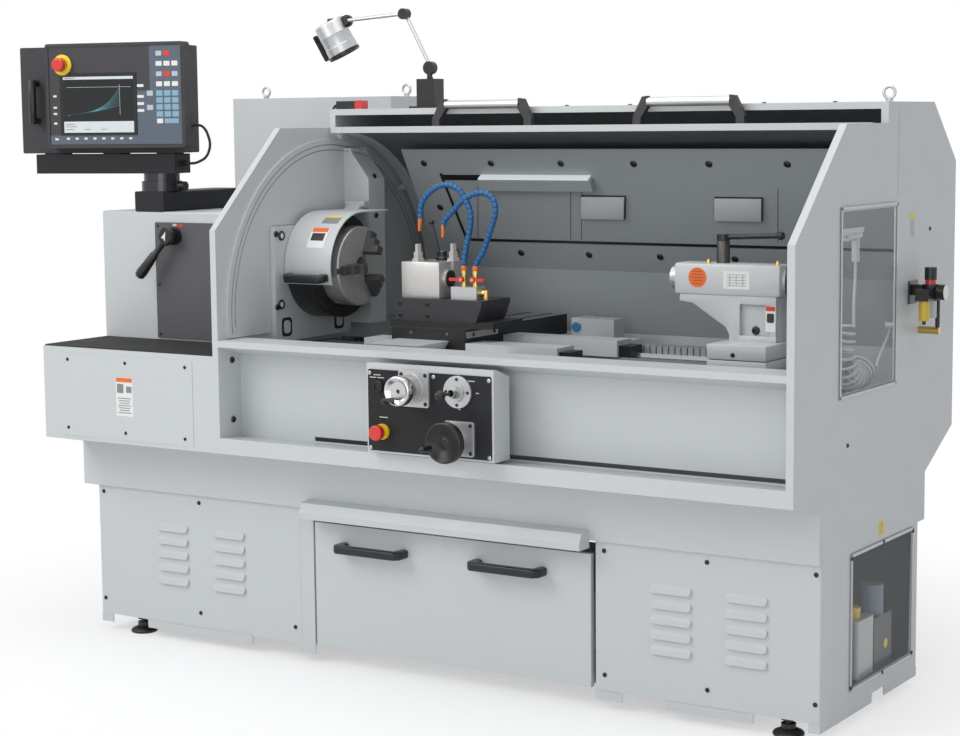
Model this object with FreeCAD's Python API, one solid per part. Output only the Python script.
import FreeCAD, Part
import math
import os

# CNC turning lathe: a flat-bed lathe in a sheet-metal enclosure with a roll-over door.
# Building frame: X to the right, Y to the rear, Z up, millimetres.
# X = 0 is the left face of the left box, Y = 0 the front plane, Z = 0 the floor.
# The finished pieces are shifted so that the origin is the middle of the footprint.

V = FreeCAD.Vector

# ---- floor plan -----------------------------------------------------------------
LEFT_BOX_LENGTH = 645.0
ENCLOSURE_LENGTH = 1755.0
PANEL_DEPTH = 20.0
SHEET = 3.0
X_LEFT = LEFT_BOX_LENGTH
X_IN_LEFT = X_LEFT + PANEL_DEPTH
X_RIGHT = X_LEFT + ENCLOSURE_LENGTH
X_IN_RIGHT = X_RIGHT - PANEL_DEPTH

# ---- heights --------------------------------------------------------------------
FOOT_HEIGHT = 50.0
CABINET_TOP = 447.0
PAN_TOP = 577.0
FRONT_FOOT_Z = 610.0
RAIL_TOP_Z = 654.0
LIP_TOP_Z = 927.0
FRONT_TOP_Z = 1233.0
ROOF_Z = 1511.0
RAISED_ROOF_Z = 1565.0
REAR_TOP_Z = 1407.0
REAR_FOOT_Z = 680.0

# ---- depths ---------------------------------------------------------------------
DEPTH = 1057.0
PAN_FRONT_Y = 155.0
PAN_REAR_Y = 857.0
CHAMFER_TOP_Y = 300.0
ROOF_STEP_Y = 565.0
ROOF_REAR_Y = 887.0
CABINET_FRONT_Y = 168.0
CABINET_REAR_Y = 811.0

# ---- spindle line and bed --------------------------------------------------------
SPINDLE_Y = 430.0
SPINDLE_Z = 1114.0
SPINDLE_BORE_R = 27.0
CHUCK_R = 115.0
CHUCK_FACE_X = 850.0
CHUCK_LENGTH = 88.0
BED_FRONT_Y = 300.0
BED_WIDTH = 260.0
BED_TOP_Z = 885.0
BED_START_X = 90.0
BED_END_X = 2296.0
RUN_GAP = 0.3
FIT_GAP = 0.05

# ---- roll-over door ---------------------------------------------------------------
DOOR_AXIS_Y = 525.0
DOOR_AXIS_Z = 990.0
DOOR_R = 515.0
DOOR_SHEET = 4.0
DOOR_END_GAP = 10.0
DOOR_REST_ANGLE = 88.5
DOOR_SPAN = 104.0

# ---- left box and headstock cover ---------------------------------------------------
LEFT_BOX_TOP_Z = 882.0
COVER_FRONT_Y = 272.0
COVER_TOP_Z = 1267.0
MAT_T = 4.0

# ---- pendant ----------------------------------------------------------------------
PENDANT_X = 187.0
PENDANT_Y = 332.0
POST_SIZE = 60.0
SWIVEL_R = 60.5
SWIVEL_H = 30.0
PENDANT_YAW = 13.5

# ---- carriage -----------------------------------------------------------------------
SADDLE_TOP_Z = 902.0
DOVETAIL_TOP_Z = 928.0
SLIDE_TOP_Z = 960.0
SLIDE_LEFT_X = 1055.0
SLIDE_RIGHT_X = 1298.0
SLIDE_FRONT_Y = 286.0
SLIDE_REAR_Y = 838.0

# ---- louvres --------------------------------------------------------------------------
LOUVRE_LENGTH = 118.0
LOUVRE_HEIGHT = 22.0
LOUVRE_DEPTH = 9.0
LOUVRE_PITCH = 40.0
LOUVRE_ROWS = 5
LOUVRE_TOP_Z = 340.0


# ======================================================================================
# helpers
# ======================================================================================
def box(x0, x1, y0, y1, z0, z1):
    """A block between two corners."""
    return Part.makeBox(x1 - x0, y1 - y0, z1 - z0, V(x0, y0, z0))


def rod(radius, start, direction, length):
    """A round bar from a start point along a direction."""
    return Part.makeCylinder(radius, length, V(*start), V(*direction))


def pipe(outer, inner, start, direction, length):
    """A round tube from a start point along a direction."""
    return rod(outer, start, direction, length).cut(rod(inner, start, direction, length))


def join(shapes):
    """One clean solid from pieces that meet."""
    result = shapes[0]
    if len(shapes) > 1:
        result = result.fuse(shapes[1:])
    return result.removeSplitter()


def cut(shape, tools):
    """A shape with every tool taken out of it."""
    return shape.cut(tools) if tools else shape


def group(shapes):
    """Separate like solids in one node."""
    return Part.makeCompound(shapes)


def prism_x(points, x0, x1):
    """A (y, z) outline carried along X."""
    corners = [V(x0, y, z) for y, z in points]
    return Part.Face(Part.makePolygon(corners + corners[:1])).extrude(V(x1 - x0, 0, 0))


def prism_y(points, y0, y1):
    """An (x, z) outline carried along Y."""
    corners = [V(x, y0, z) for x, z in points]
    return Part.Face(Part.makePolygon(corners + corners[:1])).extrude(V(0, y1 - y0, 0))


def prism_z(points, z0, z1):
    """An (x, y) outline carried along Z."""
    corners = [V(x, y, z0) for x, y in points]
    return Part.Face(Part.makePolygon(corners + corners[:1])).extrude(V(0, 0, z1 - z0))


def line_meet(a, b, c, d):
    """The point where line ab meets line cd."""
    (ax, ay), (bx, by), (cx, cy), (dx, dy) = a, b, c, d
    denominator = (ax - bx) * (cy - dy) - (ay - by) * (cx - dx)
    first = ax * by - ay * bx
    second = cx * dy - cy * dx
    x = (first * (cx - dx) - (ax - bx) * second) / denominator
    y = (first * (cy - dy) - (ay - by) * second) / denominator
    return (x, y)


def shifted(a, b, distance):
    """Segment ab moved to its left by a distance."""
    length = math.hypot(b[0] - a[0], b[1] - a[1])
    nx = -(b[1] - a[1]) / length * distance
    ny = (b[0] - a[0]) / length * distance
    return (a[0] + nx, a[1] + ny), (b[0] + nx, b[1] + ny)


def inset(points, distance):
    """A closed counter-clockwise outline drawn in by a distance."""
    count = len(points)
    sides = [shifted(points[i], points[(i + 1) % count], distance) for i in range(count)]
    return [line_meet(*sides[i - 1], *sides[i]) for i in range(count)]


def folded(points, thickness):
    """The section of a folded sheet whose outer skin follows the points."""
    sides = [shifted(a, b, thickness) for a, b in zip(points, points[1:])]
    inner = [sides[0][0]]
    inner += [line_meet(*a, *b) for a, b in zip(sides, sides[1:])]
    inner.append(sides[-1][1])
    return points + inner[::-1]


def rounded(shape, radius, pick):
    """Fillets on the edges that a test picks."""
    edges = [edge for edge in shape.Edges if pick(edge)]
    return shape.makeFillet(radius, edges) if edges else shape


def along(axis):
    """A test for straight edges that run along one axis."""
    wanted = V(*axis)

    def test(edge):
        start, end = edge.Vertexes[0].Point, edge.Vertexes[-1].Point
        run = end.sub(start)
        return run.Length > 1e-6 and run.cross(wanted).Length < 1e-6 * run.Length

    return test


def turned(shape, centre, axis, angle):
    """A copy turned about an axis."""
    copy = shape.copy()
    copy.rotate(V(*centre), V(*axis), angle)
    return copy


def moved(shape, offset):
    """A copy moved by an offset."""
    copy = shape.copy()
    copy.translate(V(*offset))
    return copy


def ring_piece(axis_y, axis_z, outer, inner, x0, x1, start, span):
    """A curved band about an X axis, from a start angle (from +Y towards +Z) over a span."""
    band = Part.Face(Part.makePolygon([
        V(x0, axis_y + inner, axis_z), V(x1, axis_y + inner, axis_z),
        V(x1, axis_y + outer, axis_z), V(x0, axis_y + outer, axis_z),
        V(x0, axis_y + inner, axis_z),
    ]))
    solid = band.revolve(V(0, axis_y, axis_z), V(1, 0, 0), span)
    return turned(solid, (0, axis_y, axis_z), (1, 0, 0), start)


PARTS = {}


def add(name, shape):
    """Keeps a finished piece under its node's name."""
    PARTS[name] = shape


def end_outline():
    """The (y, z) outline that both end panels share, counter-clockwise seen from +X."""
    return [
        (0.0, FRONT_FOOT_Z), (PAN_FRONT_Y, PAN_TOP), (PAN_REAR_Y, PAN_TOP),
        (DEPTH, REAR_FOOT_Z), (DEPTH, REAR_TOP_Z), (ROOF_REAR_Y, RAISED_ROOF_Z),
        (ROOF_STEP_Y, RAISED_ROOF_Z), (ROOF_STEP_Y, ROOF_Z), (CHAMFER_TOP_Y, ROOF_Z),
        (0.0, FRONT_TOP_Z),
    ]


# ======================================================================================
# base: feet, cabinets, chip pan, drawer
# ======================================================================================
LEFT_CABINET_X0 = 45.0
LEFT_CABINET_X1 = 811.0
RIGHT_CABINET_X0 = 1770.0
CABINET_FLANGE = 70.0
FOOT_PAD_R = 40.0
FOOT_STEM_R = 9.0
FOOT_FRONT_Y = CABINET_FRONT_Y + 37.0
FOOT_REAR_Y = CABINET_REAR_Y - 37.0
FOOT_XS = (196.0, 700.0, 1830.0, 2310.0)
LEFT_LOUVRE_XS = (336.0, 549.0)
RIGHT_LOUVRE_XS = (1990.0, 2200.0)
LOWER_WINDOW_Y0 = 358.0
LOWER_WINDOW_Y1 = 761.0
LOWER_WINDOW_Z0 = 98.0
LOWER_WINDOW_Z1 = 431.0
SIDE_WINDOW_Y0 = 276.0
SIDE_WINDOW_Y1 = 620.0
SIDE_WINDOW_Z0 = 851.0
SIDE_WINDOW_Z1 = 1298.0
WINDOW_OVERLAP = 12.0
WINDOW_T = 3.0
RUNNER_FRONT_Y = CABINET_FRONT_Y + 30.0
RUNNER_REAR_Y = CABINET_FRONT_Y + 603.0
RUNNER_Z0 = 150.0
RUNNER_Z1 = 190.0
RUNNER_LEFT_X = 870.0
RUNNER_RIGHT_X = 1750.0


def levelling_foot(x, y):
    """A round pad with a neck, a threaded stem and a lock nut."""
    profile = [
        (0.0, 0.0), (FOOT_PAD_R, 0.0), (FOOT_PAD_R, 6.0), (FOOT_PAD_R - 4.0, 10.0),
        (18.0, 16.0), (18.0, 24.0), (FOOT_STEM_R, 24.0), (FOOT_STEM_R, 38.0), (17.0, 38.0),
        (17.0, FOOT_HEIGHT), (0.0, FOOT_HEIGHT),
    ]
    corners = [V(x + r, y, z) for r, z in profile]
    face = Part.Face(Part.makePolygon(corners + corners[:1]))
    return face.revolve(V(x, y, 0), V(0, 0, 1), 360)


def make_feet():
    feet = [levelling_foot(x, y) for x in FOOT_XS for y in (FOOT_FRONT_Y, FOOT_REAR_Y)]
    add("levelling_feet", group(feet))


def louvre(x, z, face_y):
    """A pressed louvre: a rounded hood, open at its lower edge."""
    section = [
        (face_y + SHEET, z + LOUVRE_HEIGHT / 2), (face_y, z + LOUVRE_HEIGHT / 2),
        (face_y - LOUVRE_DEPTH * 0.6, z + 2.0), (face_y - LOUVRE_DEPTH, z - LOUVRE_HEIGHT / 2),
        (face_y - LOUVRE_DEPTH + 1.5, z - LOUVRE_HEIGHT / 2), (face_y - 2.0, z + 4.0),
        (face_y + SHEET, z + 4.0),
    ]
    half = LOUVRE_LENGTH / 2
    hood = prism_x(section, x - half, x + half)
    end_r = LOUVRE_HEIGHT / 2
    depth = LOUVRE_DEPTH + SHEET + 2.0
    start_y = face_y - LOUVRE_DEPTH - 1.0
    outline = join([
        box(x - half + end_r, x + half - end_r, start_y, start_y + depth, z - end_r, z + end_r),
        rod(end_r, (x - half + end_r, start_y, z), (0, 1, 0), depth),
        rod(end_r, (x + half - end_r, start_y, z), (0, 1, 0), depth),
    ])
    return hood.common(outline)


def louvre_slot(x, z, face_y):
    """The opening behind a louvre's lower edge."""
    half = LOUVRE_LENGTH / 2 - LOUVRE_HEIGHT / 2
    return box(x - half, x + half, face_y - 1.0, face_y + SHEET + 1.0,
               z - LOUVRE_HEIGHT / 2 + 2.0, z + 4.0)


def cabinet(x0, x1, louvre_xs):
    """A sheet-metal pedestal with pressed louvres, open below inside a foot flange."""
    outer = box(x0, x1, CABINET_FRONT_Y, CABINET_REAR_Y, FOOT_HEIGHT, CABINET_TOP)
    outer = rounded(outer, 4.0, along((0, 0, 1)))
    inner = box(x0 + SHEET, x1 - SHEET, CABINET_FRONT_Y + SHEET, CABINET_REAR_Y - SHEET,
                FOOT_HEIGHT + SHEET * 2, CABINET_TOP - SHEET)
    floor_hole = box(x0 + CABINET_FLANGE, x1 - CABINET_FLANGE,
                     CABINET_FRONT_Y + CABINET_FLANGE, CABINET_REAR_Y - CABINET_FLANGE,
                     FOOT_HEIGHT - 1.0, FOOT_HEIGHT + SHEET * 2 + 1.0)
    places = [(x, LOUVRE_TOP_Z - row * LOUVRE_PITCH) for x in louvre_xs
              for row in range(LOUVRE_ROWS)]
    shell = cut(outer, [inner, floor_hole])
    shell = cut(shell, [louvre_slot(x, z, CABINET_FRONT_Y) for x, z in places])
    return shell.fuse([louvre(x, z, CABINET_FRONT_Y) for x, z in places])


def drawer_runner(wall_x, drawer_x):
    """A channel rail on a cabinet's side, with its back towards the drawer."""
    low, high = min(wall_x, drawer_x), max(wall_x, drawer_x)
    rail = box(low, high, RUNNER_FRONT_Y, RUNNER_REAR_Y, RUNNER_Z0, RUNNER_Z1)
    side = 1.0 if drawer_x > wall_x else -1.0
    hollow_xs = sorted((wall_x, drawer_x - side * SHEET))
    return rail.cut(box(hollow_xs[0], hollow_xs[1], RUNNER_FRONT_Y - 1, RUNNER_REAR_Y + 1,
                        RUNNER_Z0 + SHEET, RUNNER_Z1 - SHEET))


def make_cabinets():
    left = cabinet(LEFT_CABINET_X0, LEFT_CABINET_X1, LEFT_LOUVRE_XS)
    add("left_cabinet", left.fuse(drawer_runner(LEFT_CABINET_X1, RUNNER_LEFT_X)))
    window = box(X_RIGHT - SHEET - 1, X_RIGHT + 1, LOWER_WINDOW_Y0, LOWER_WINDOW_Y1,
                 LOWER_WINDOW_Z0, LOWER_WINDOW_Z1)
    right = cabinet(RIGHT_CABINET_X0, X_RIGHT, RIGHT_LOUVRE_XS)
    right = right.fuse(drawer_runner(RIGHT_CABINET_X0, RUNNER_RIGHT_X))
    add("right_cabinet", cut(right, [window]))


DRAWER_X0 = 862.0
DRAWER_X1 = 1757.0
DRAWER_Z0 = 54.0
DRAWER_Z1 = 408.0
DRAWER_FRONT_T = 18.0
DRAWER_TRAY_DEPTH = 600.0
DRAWER_TRAY_TOP = 300.0
HANDLE_XS = (1069.0, 1512.0)
HANDLE_LENGTH = 218.0
HANDLE_Z = 348.0
HANDLE_REACH = 42.0
HANDLE_R = 9.0
CANOPY_FRONT_Y = 103.0
CANOPY_X0 = 857.0
CANOPY_X1 = 1760.0


def make_chip_pan():
    outer = box(0, X_RIGHT, PAN_FRONT_Y, PAN_REAR_Y, CABINET_TOP, PAN_TOP)
    inner = box(SHEET, X_RIGHT - SHEET, PAN_FRONT_Y + SHEET, PAN_REAR_Y - SHEET,
                CABINET_TOP + SHEET, PAN_TOP + 1)
    canopy_out = [(PAN_FRONT_Y, 427.0), (PAN_FRONT_Y, 476.0), (CANOPY_FRONT_Y + 12.0, 470.0),
                  (CANOPY_FRONT_Y, 444.0), (CANOPY_FRONT_Y, 427.0)]
    canopy = prism_x(canopy_out, CANOPY_X0, CANOPY_X1)
    hollow = prism_x([(PAN_FRONT_Y - SHEET, 426.0), (PAN_FRONT_Y - SHEET, 472.0),
                      (CANOPY_FRONT_Y + 14.0, 467.0), (CANOPY_FRONT_Y + SHEET, 443.0),
                      (CANOPY_FRONT_Y + SHEET, 426.0)],
                     CANOPY_X0 + SHEET, CANOPY_X1 - SHEET)
    add("chip_pan", join([outer.cut(inner), canopy.cut(hollow)]))


def bow_handle(x, face_y, z, length, reach, radius):
    """A bar handle on two legs with rounded corners."""
    half = length / 2 - radius
    bar_y = face_y - reach
    pieces = [rod(radius, (x - half, bar_y, z), (1, 0, 0), 2 * half)]
    for side in (-half, half):
        pieces.append(Part.makeSphere(radius, V(x + side, bar_y, z)))
        pieces.append(rod(radius, (x + side, bar_y, z), (0, 1, 0), reach))
        pieces.append(rod(radius * 1.35, (x + side, face_y - 5.0, z), (0, 1, 0), 5.0))
    return join(pieces)


def make_drawer():
    front = box(DRAWER_X0, DRAWER_X1, CABINET_FRONT_Y, CABINET_FRONT_Y + DRAWER_FRONT_T,
                DRAWER_Z0, DRAWER_Z1)
    front = rounded(front, 3.0, along((0, 0, 1)))
    pocket = box(DRAWER_X0 + SHEET, DRAWER_X1 - SHEET, CABINET_FRONT_Y + SHEET,
                 CABINET_FRONT_Y + DRAWER_FRONT_T + 1, DRAWER_Z0 + SHEET, DRAWER_Z1 - SHEET)
    tray_y0 = CABINET_FRONT_Y + SHEET
    tray = box(RUNNER_LEFT_X + RUN_GAP, RUNNER_RIGHT_X - RUN_GAP, tray_y0,
               tray_y0 + DRAWER_TRAY_DEPTH, DRAWER_Z0 + SHEET, DRAWER_TRAY_TOP)
    hollow = box(RUNNER_LEFT_X + SHEET, RUNNER_RIGHT_X - SHEET, tray_y0 + SHEET,
                 tray_y0 + DRAWER_TRAY_DEPTH - SHEET, DRAWER_Z0 + SHEET * 2,
                 DRAWER_TRAY_TOP + 1)
    handles = [bow_handle(x, CABINET_FRONT_Y, HANDLE_Z, HANDLE_LENGTH, HANDLE_REACH, HANDLE_R)
               for x in HANDLE_XS]
    add("drawer", join([front.cut(pocket), tray.cut(hollow)] + handles))


# ======================================================================================
# enclosure
# ======================================================================================
HEADSTOCK_Y0 = 290.0
HEADSTOCK_Y1 = 600.0
HEADSTOCK_X0 = 60.0
HEADSTOCK_TOP_Z = 1250.0
NOSE_X = 690.0
NOSE_Y0 = 232.0
NOSE_Y1 = 628.0
NOSE_Z0 = 902.0
NOSE_Z1 = 1233.0
CLEAR = 2.0
DISC_R = 488.0
DISC_T = 8.0
COLUMN_Y0 = 594.0
COLUMN_Y1 = 675.0
COLUMN_X = 762.0
COLUMN_TOP_X = 700.0
COLUMN_TOP_Z = 1450.0
GUARD_HINGE_Y = 580.0
GUARD_HINGE_Z = 1284.0
GUARD_PIN_R = 5.0
GUARD_LUG_XS = (692.0, 752.0)
GUARD_LUG_T = 9.0
ARM_SLOT_X0 = 923.0
ARM_SLOT_Z0 = 652.0
ARM_SLOT_Z1 = 664.0
RECESS_Y = 97.0
DOOR_RAIL_W = 10.0
PANEL_EYE = (2389.0, 596.0, RAISED_ROOF_Z)
EYE_RING_R = 15.0
EYE_WIRE_R = 4.0


def panel_tray(x_skin, x_open):
    """A folded end panel: a skin with a flange all round, open on one side."""
    low, high = min(x_skin, x_open), max(x_skin, x_open)
    body = prism_x(end_outline(), low, high)
    inner = inset(end_outline(), SHEET)
    if x_skin > x_open:
        return body.cut(prism_x(inner, low - 1, high - SHEET))
    return body.cut(prism_x(inner, low + SHEET, high + 1))


def eye_bolt(x, y, z):
    """A lifting eye: a ring on a collar."""
    ring = Part.makeTorus(EYE_RING_R, EYE_WIRE_R, V(x, y, z + EYE_RING_R + 8.0), V(0, 1, 0))
    collar = rod(9.0, (x, y, z), (0, 0, 1), 6.0)
    return join([ring, collar, rod(5.0, (x, y, z), (0, 0, 1), 10.0)])


def guard_hinge():
    """Two lugs and a pin on the duct column, for the chuck guard."""
    pieces = []
    for x in GUARD_LUG_XS:
        pieces.append(box(x, x + GUARD_LUG_T, GUARD_HINGE_Y, COLUMN_Y0, GUARD_HINGE_Z - 10,
                          GUARD_HINGE_Z + 10))
        pieces.append(rod(10.0, (x, GUARD_HINGE_Y, GUARD_HINGE_Z), (1, 0, 0), GUARD_LUG_T))
    pin_length = GUARD_LUG_XS[1] - GUARD_LUG_XS[0] + GUARD_LUG_T
    pieces.append(rod(GUARD_PIN_R, (GUARD_LUG_XS[0], GUARD_HINGE_Y, GUARD_HINGE_Z), (1, 0, 0),
                      pin_length))
    return pieces


def make_left_end_panel():
    panel = panel_tray(X_IN_LEFT, X_LEFT)
    disc = rod(DISC_R, (X_IN_LEFT, DOOR_AXIS_Y, DOOR_AXIS_Z), (1, 0, 0), DISC_T)
    disc = disc.cut(box(X_LEFT, X_IN_LEFT + DISC_T + 1, -100, DEPTH + 100, 0,
                        LIP_TOP_Z + SHEET))
    column = prism_y([(X_IN_LEFT, LIP_TOP_Z + SHEET), (COLUMN_X, LIP_TOP_Z + SHEET),
                      (COLUMN_X, 1360.0), (COLUMN_TOP_X, 1439.0),
                      (COLUMN_TOP_X, COLUMN_TOP_Z), (X_IN_LEFT, COLUMN_TOP_Z)],
                     COLUMN_Y0, COLUMN_Y1)
    body = join([panel, disc, column] + guard_hinge())
    bed_notch = box(X_LEFT - 1, NOSE_X, BED_FRONT_Y - CLEAR, BED_FRONT_Y + BED_WIDTH + CLEAR,
                    PAN_TOP - 1, BED_TOP_Z + CLEAR)
    nose_hole = box(X_LEFT - 1, NOSE_X, NOSE_Y0 - CLEAR, NOSE_Y1 + CLEAR, NOSE_Z0 - CLEAR,
                    NOSE_Z1 + CLEAR)
    nose_hole = nose_hole.cut(box(X_LEFT, COLUMN_X, COLUMN_Y0, COLUMN_Y1, 0, 2000))
    add("left_end_panel", cut(body, [bed_notch, nose_hole]))


def make_right_end_panel():
    panel = panel_tray(X_RIGHT, X_IN_RIGHT)
    window = box(X_RIGHT - SHEET - 1, X_RIGHT + 1, SIDE_WINDOW_Y0, SIDE_WINDOW_Y1,
                 SIDE_WINDOW_Z0, SIDE_WINDOW_Z1)
    rail = ring_piece(DOOR_AXIS_Y, DOOR_AXIS_Z, DISC_R, DISC_R - DOOR_RAIL_W,
                      X_IN_RIGHT, X_RIGHT - SHEET, 0.0, 186.0)
    add("right_end_panel", join([panel.cut(window), rail, eye_bolt(*PANEL_EYE)]))


def make_front_apron():
    skin = [(PAN_FRONT_Y, PAN_TOP), (0.0, FRONT_FOOT_Z), (0.0, RAIL_TOP_Z),
            (RECESS_Y, RAIL_TOP_Z - 6.0), (RECESS_Y, 880.0), (0.0, 909.0), (0.0, LIP_TOP_Z),
            (RECESS_Y + 15.0, LIP_TOP_Z)]
    apron = prism_x(folded(skin, -SHEET), X_IN_LEFT, X_IN_RIGHT)
    slot = box(ARM_SLOT_X0, X_IN_RIGHT - 8.0, RECESS_Y - 1, RECESS_Y + SHEET + 1,
               ARM_SLOT_Z0, ARM_SLOT_Z1)
    add("front_apron", apron.cut(slot))


LINER_LEFT_X = 816.0
LINER_TOP = (687.0, 1444.0)
LINER_KNEE = (895.0, 1085.0)
LINER_FOOT = (840.0, 640.0)
LIGHT_X0 = 1065.0
LIGHT_X1 = 1447.0
LIGHT_DOWN = 94.0
LIGHT_W = 34.0
LIGHT_T = 22.0
COVER_PLATE_XS = (1392.0, 1816.0)
COVER_PLATE_W = 122.0
COVER_PLATE_DOWN = 156.0
COVER_PLATE_H = 71.0


def liner_box(x0, x1, down, height, proud):
    """A block on the sloping liner, a distance down it, standing proud of it."""
    run = V(0, LINER_KNEE[0] - LINER_TOP[0], LINER_KNEE[1] - LINER_TOP[1]).normalize()
    out = V(0, run.z, -run.y)
    start = V(x0, LINER_TOP[0], LINER_TOP[1]) + run * down
    corners = [start, start + run * height, start + run * height + out * proud,
               start + out * proud]
    return Part.Face(Part.makePolygon(corners + corners[:1])).extrude(V(x1 - x0, 0, 0))


def make_rear_panels():
    shell = [(ROOF_STEP_Y, RAISED_ROOF_Z - 18.0), (ROOF_STEP_Y, RAISED_ROOF_Z),
             (ROOF_REAR_Y, RAISED_ROOF_Z), (DEPTH, REAR_TOP_Z), (DEPTH, REAR_FOOT_Z),
             (PAN_REAR_Y, PAN_TOP)]
    sheet = prism_x(folded(shell, -SHEET), X_IN_LEFT, X_IN_RIGHT)
    add("rear_panel", join([sheet] + lamp_base() + interlock_switch()))
    liner = [LINER_TOP, LINER_KNEE, (930.0, 900.0), LINER_FOOT,
             (LINER_FOOT[0], CABINET_TOP + SHEET)]
    sheet = prism_x(folded(liner, SHEET), LINER_LEFT_X, X_IN_RIGHT)
    plates = [liner_box(x, x + COVER_PLATE_W, COVER_PLATE_DOWN, COVER_PLATE_H, 2.0)
              for x in COVER_PLATE_XS]
    light = liner_box(LIGHT_X0, LIGHT_X1, LIGHT_DOWN, LIGHT_W, LIGHT_T)
    add("splash_liner", join([sheet, light] + plates))


def make_windows():
    side = box(X_RIGHT, X_RIGHT + WINDOW_T, SIDE_WINDOW_Y0 - WINDOW_OVERLAP,
               SIDE_WINDOW_Y1 + WINDOW_OVERLAP, SIDE_WINDOW_Z0 - WINDOW_OVERLAP,
               SIDE_WINDOW_Z1 + WINDOW_OVERLAP)
    lower = box(X_RIGHT, X_RIGHT + WINDOW_T, LOWER_WINDOW_Y0 - WINDOW_OVERLAP,
                LOWER_WINDOW_Y1 + WINDOW_OVERLAP, LOWER_WINDOW_Z0 - WINDOW_OVERLAP,
                LOWER_WINDOW_Z1 + WINDOW_OVERLAP)
    add("side_windows", group([side, lower]))


# ======================================================================================
# left box, headstock cover, electrical cabinet
# ======================================================================================
ACCESS_X0 = 72.0
ACCESS_X1 = 570.0
ACCESS_Z0 = 622.0
ACCESS_Z1 = 866.0
ACCESS_T = 1.5
GEAR_PANEL_X0 = 210.0
GEAR_PANEL_TOP_Z = 1236.0
GEAR_PANEL_T = 4.0
ECAB_X0 = -127.0
ECAB_X1 = 523.0
ECAB_DEPTH = 250.0
ECAB_Z0 = 690.0
ECAB_TOP_Z = 1608.0
CABINET_EYES = ((-79.0, 1180.0, ECAB_TOP_Z), (500.0, 1180.0, ECAB_TOP_Z))


def lower_outline(top_z):
    """The (y, z) outline of the machine's underside, closed at a height."""
    return [(0.0, FRONT_FOOT_Z), (PAN_FRONT_Y, PAN_TOP), (PAN_REAR_Y, PAN_TOP),
            (DEPTH, REAR_FOOT_Z), (DEPTH, top_z), (0.0, top_z)]


def make_left_box():
    outline = lower_outline(LEFT_BOX_TOP_Z)
    body = prism_x(outline, 0, X_LEFT).cut(prism_x(inset(outline, SHEET), SHEET, X_LEFT + 1))
    top_hole = box(HEADSTOCK_X0 - CLEAR, X_LEFT + 1, HEADSTOCK_Y0 - CLEAR,
                   HEADSTOCK_Y1 + CLEAR, LEFT_BOX_TOP_Z - SHEET - 1, LEFT_BOX_TOP_Z + 1)
    floor_hole = box(BED_START_X - CLEAR, X_LEFT + 1, BED_FRONT_Y - CLEAR,
                     BED_FRONT_Y + BED_WIDTH + CLEAR, PAN_TOP - 1, PAN_TOP + SHEET + 1)
    access = box(ACCESS_X0, ACCESS_X1, -ACCESS_T, 0, ACCESS_Z0, ACCESS_Z1)
    access = rounded(access, 6.0, along((0, 1, 0)))
    add("left_box", join([cut(body, [top_hole, floor_hole]), access]))
    mat = box(4, X_LEFT - 4, 4, COVER_FRONT_Y - 4, LEFT_BOX_TOP_Z, LEFT_BOX_TOP_Z + MAT_T)
    ribs = [box(10, X_LEFT - 10, y, y + 4, LEFT_BOX_TOP_Z + MAT_T - 1.5,
                LEFT_BOX_TOP_Z + MAT_T + 1) for y in range(14, 260, 12)]
    add("rubber_mat", cut(mat, ribs))


def make_headstock_cover():
    outer = box(0, X_LEFT, COVER_FRONT_Y, DEPTH, LEFT_BOX_TOP_Z, COVER_TOP_Z)
    outer = rounded(outer, 5.0, along((1, 0, 0)))
    inner = box(SHEET, X_LEFT + 1, COVER_FRONT_Y + SHEET, DEPTH - SHEET,
                LEFT_BOX_TOP_Z - 1, COVER_TOP_Z - SHEET)
    bar_hole = rod(45.0, (-1, SPINDLE_Y, SPINDLE_Z), (1, 0, 0), SHEET + 2)
    add("headstock_cover", cut(outer, [inner, bar_hole]))
    panel = box(GEAR_PANEL_X0, X_LEFT - 8, COVER_FRONT_Y - GEAR_PANEL_T, COVER_FRONT_Y,
                LEFT_BOX_TOP_Z + 8, GEAR_PANEL_TOP_Z)
    panel = rounded(panel, 4.0, along((0, 1, 0)))
    add("gear_panel", panel)


def make_electrical_cabinet():
    y1 = DEPTH + ECAB_DEPTH
    outer = box(ECAB_X0, ECAB_X1, DEPTH, y1, ECAB_Z0, ECAB_TOP_Z)
    outer = rounded(outer, 5.0, along((0, 0, 1)))
    inner = box(ECAB_X0 + SHEET, ECAB_X1 - SHEET, DEPTH + SHEET, y1 - SHEET,
                ECAB_Z0 + SHEET, ECAB_TOP_Z - SHEET)
    door = box(ECAB_X0 + 20, ECAB_X1 - 20, y1, y1 + 6.0, ECAB_Z0 + 20, ECAB_TOP_Z - 20)
    lock = rod(14.0, (ECAB_X1 - 55, y1 + 6, (ECAB_Z0 + ECAB_TOP_Z) / 2), (0, 1, 0), 8.0)
    eyes = [eye_bolt(*place) for place in CABINET_EYES]
    add("electrical_cabinet", join([outer.cut(inner), door, lock] + eyes))


# ======================================================================================
# bed, headstock, spindle and chuck
# ======================================================================================
VEE_WIDTH = 24.0
VEE_HEIGHT = 10.0
VEE_START_X = 700.0
VEE_YS = (BED_FRONT_Y + 30.0, BED_FRONT_Y + BED_WIDTH - 30.0)
SHEAR_W = 70.0
SPINDLE_R = 60.0
SPINDLE_FLANGE_R = 85.0
SPINDLE_X0 = 20.0
CHUCK_X0 = CHUCK_FACE_X - CHUCK_LENGTH
JAW_ANGLES = (185.0, 65.0, 305.0)
JAW_WIDTH = 26.0
JAW_IN_R = 40.0
JAW_OUT_R = 104.0
JAW_STEPS = 3
JAW_STEP_T = 17.0
JAW_KEY_W = 16.0
JAW_KEY_DEPTH = 12.0
JAW_TRAVEL_IN = 9.0
JAW_TRAVEL_OUT = 8.0


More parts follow.
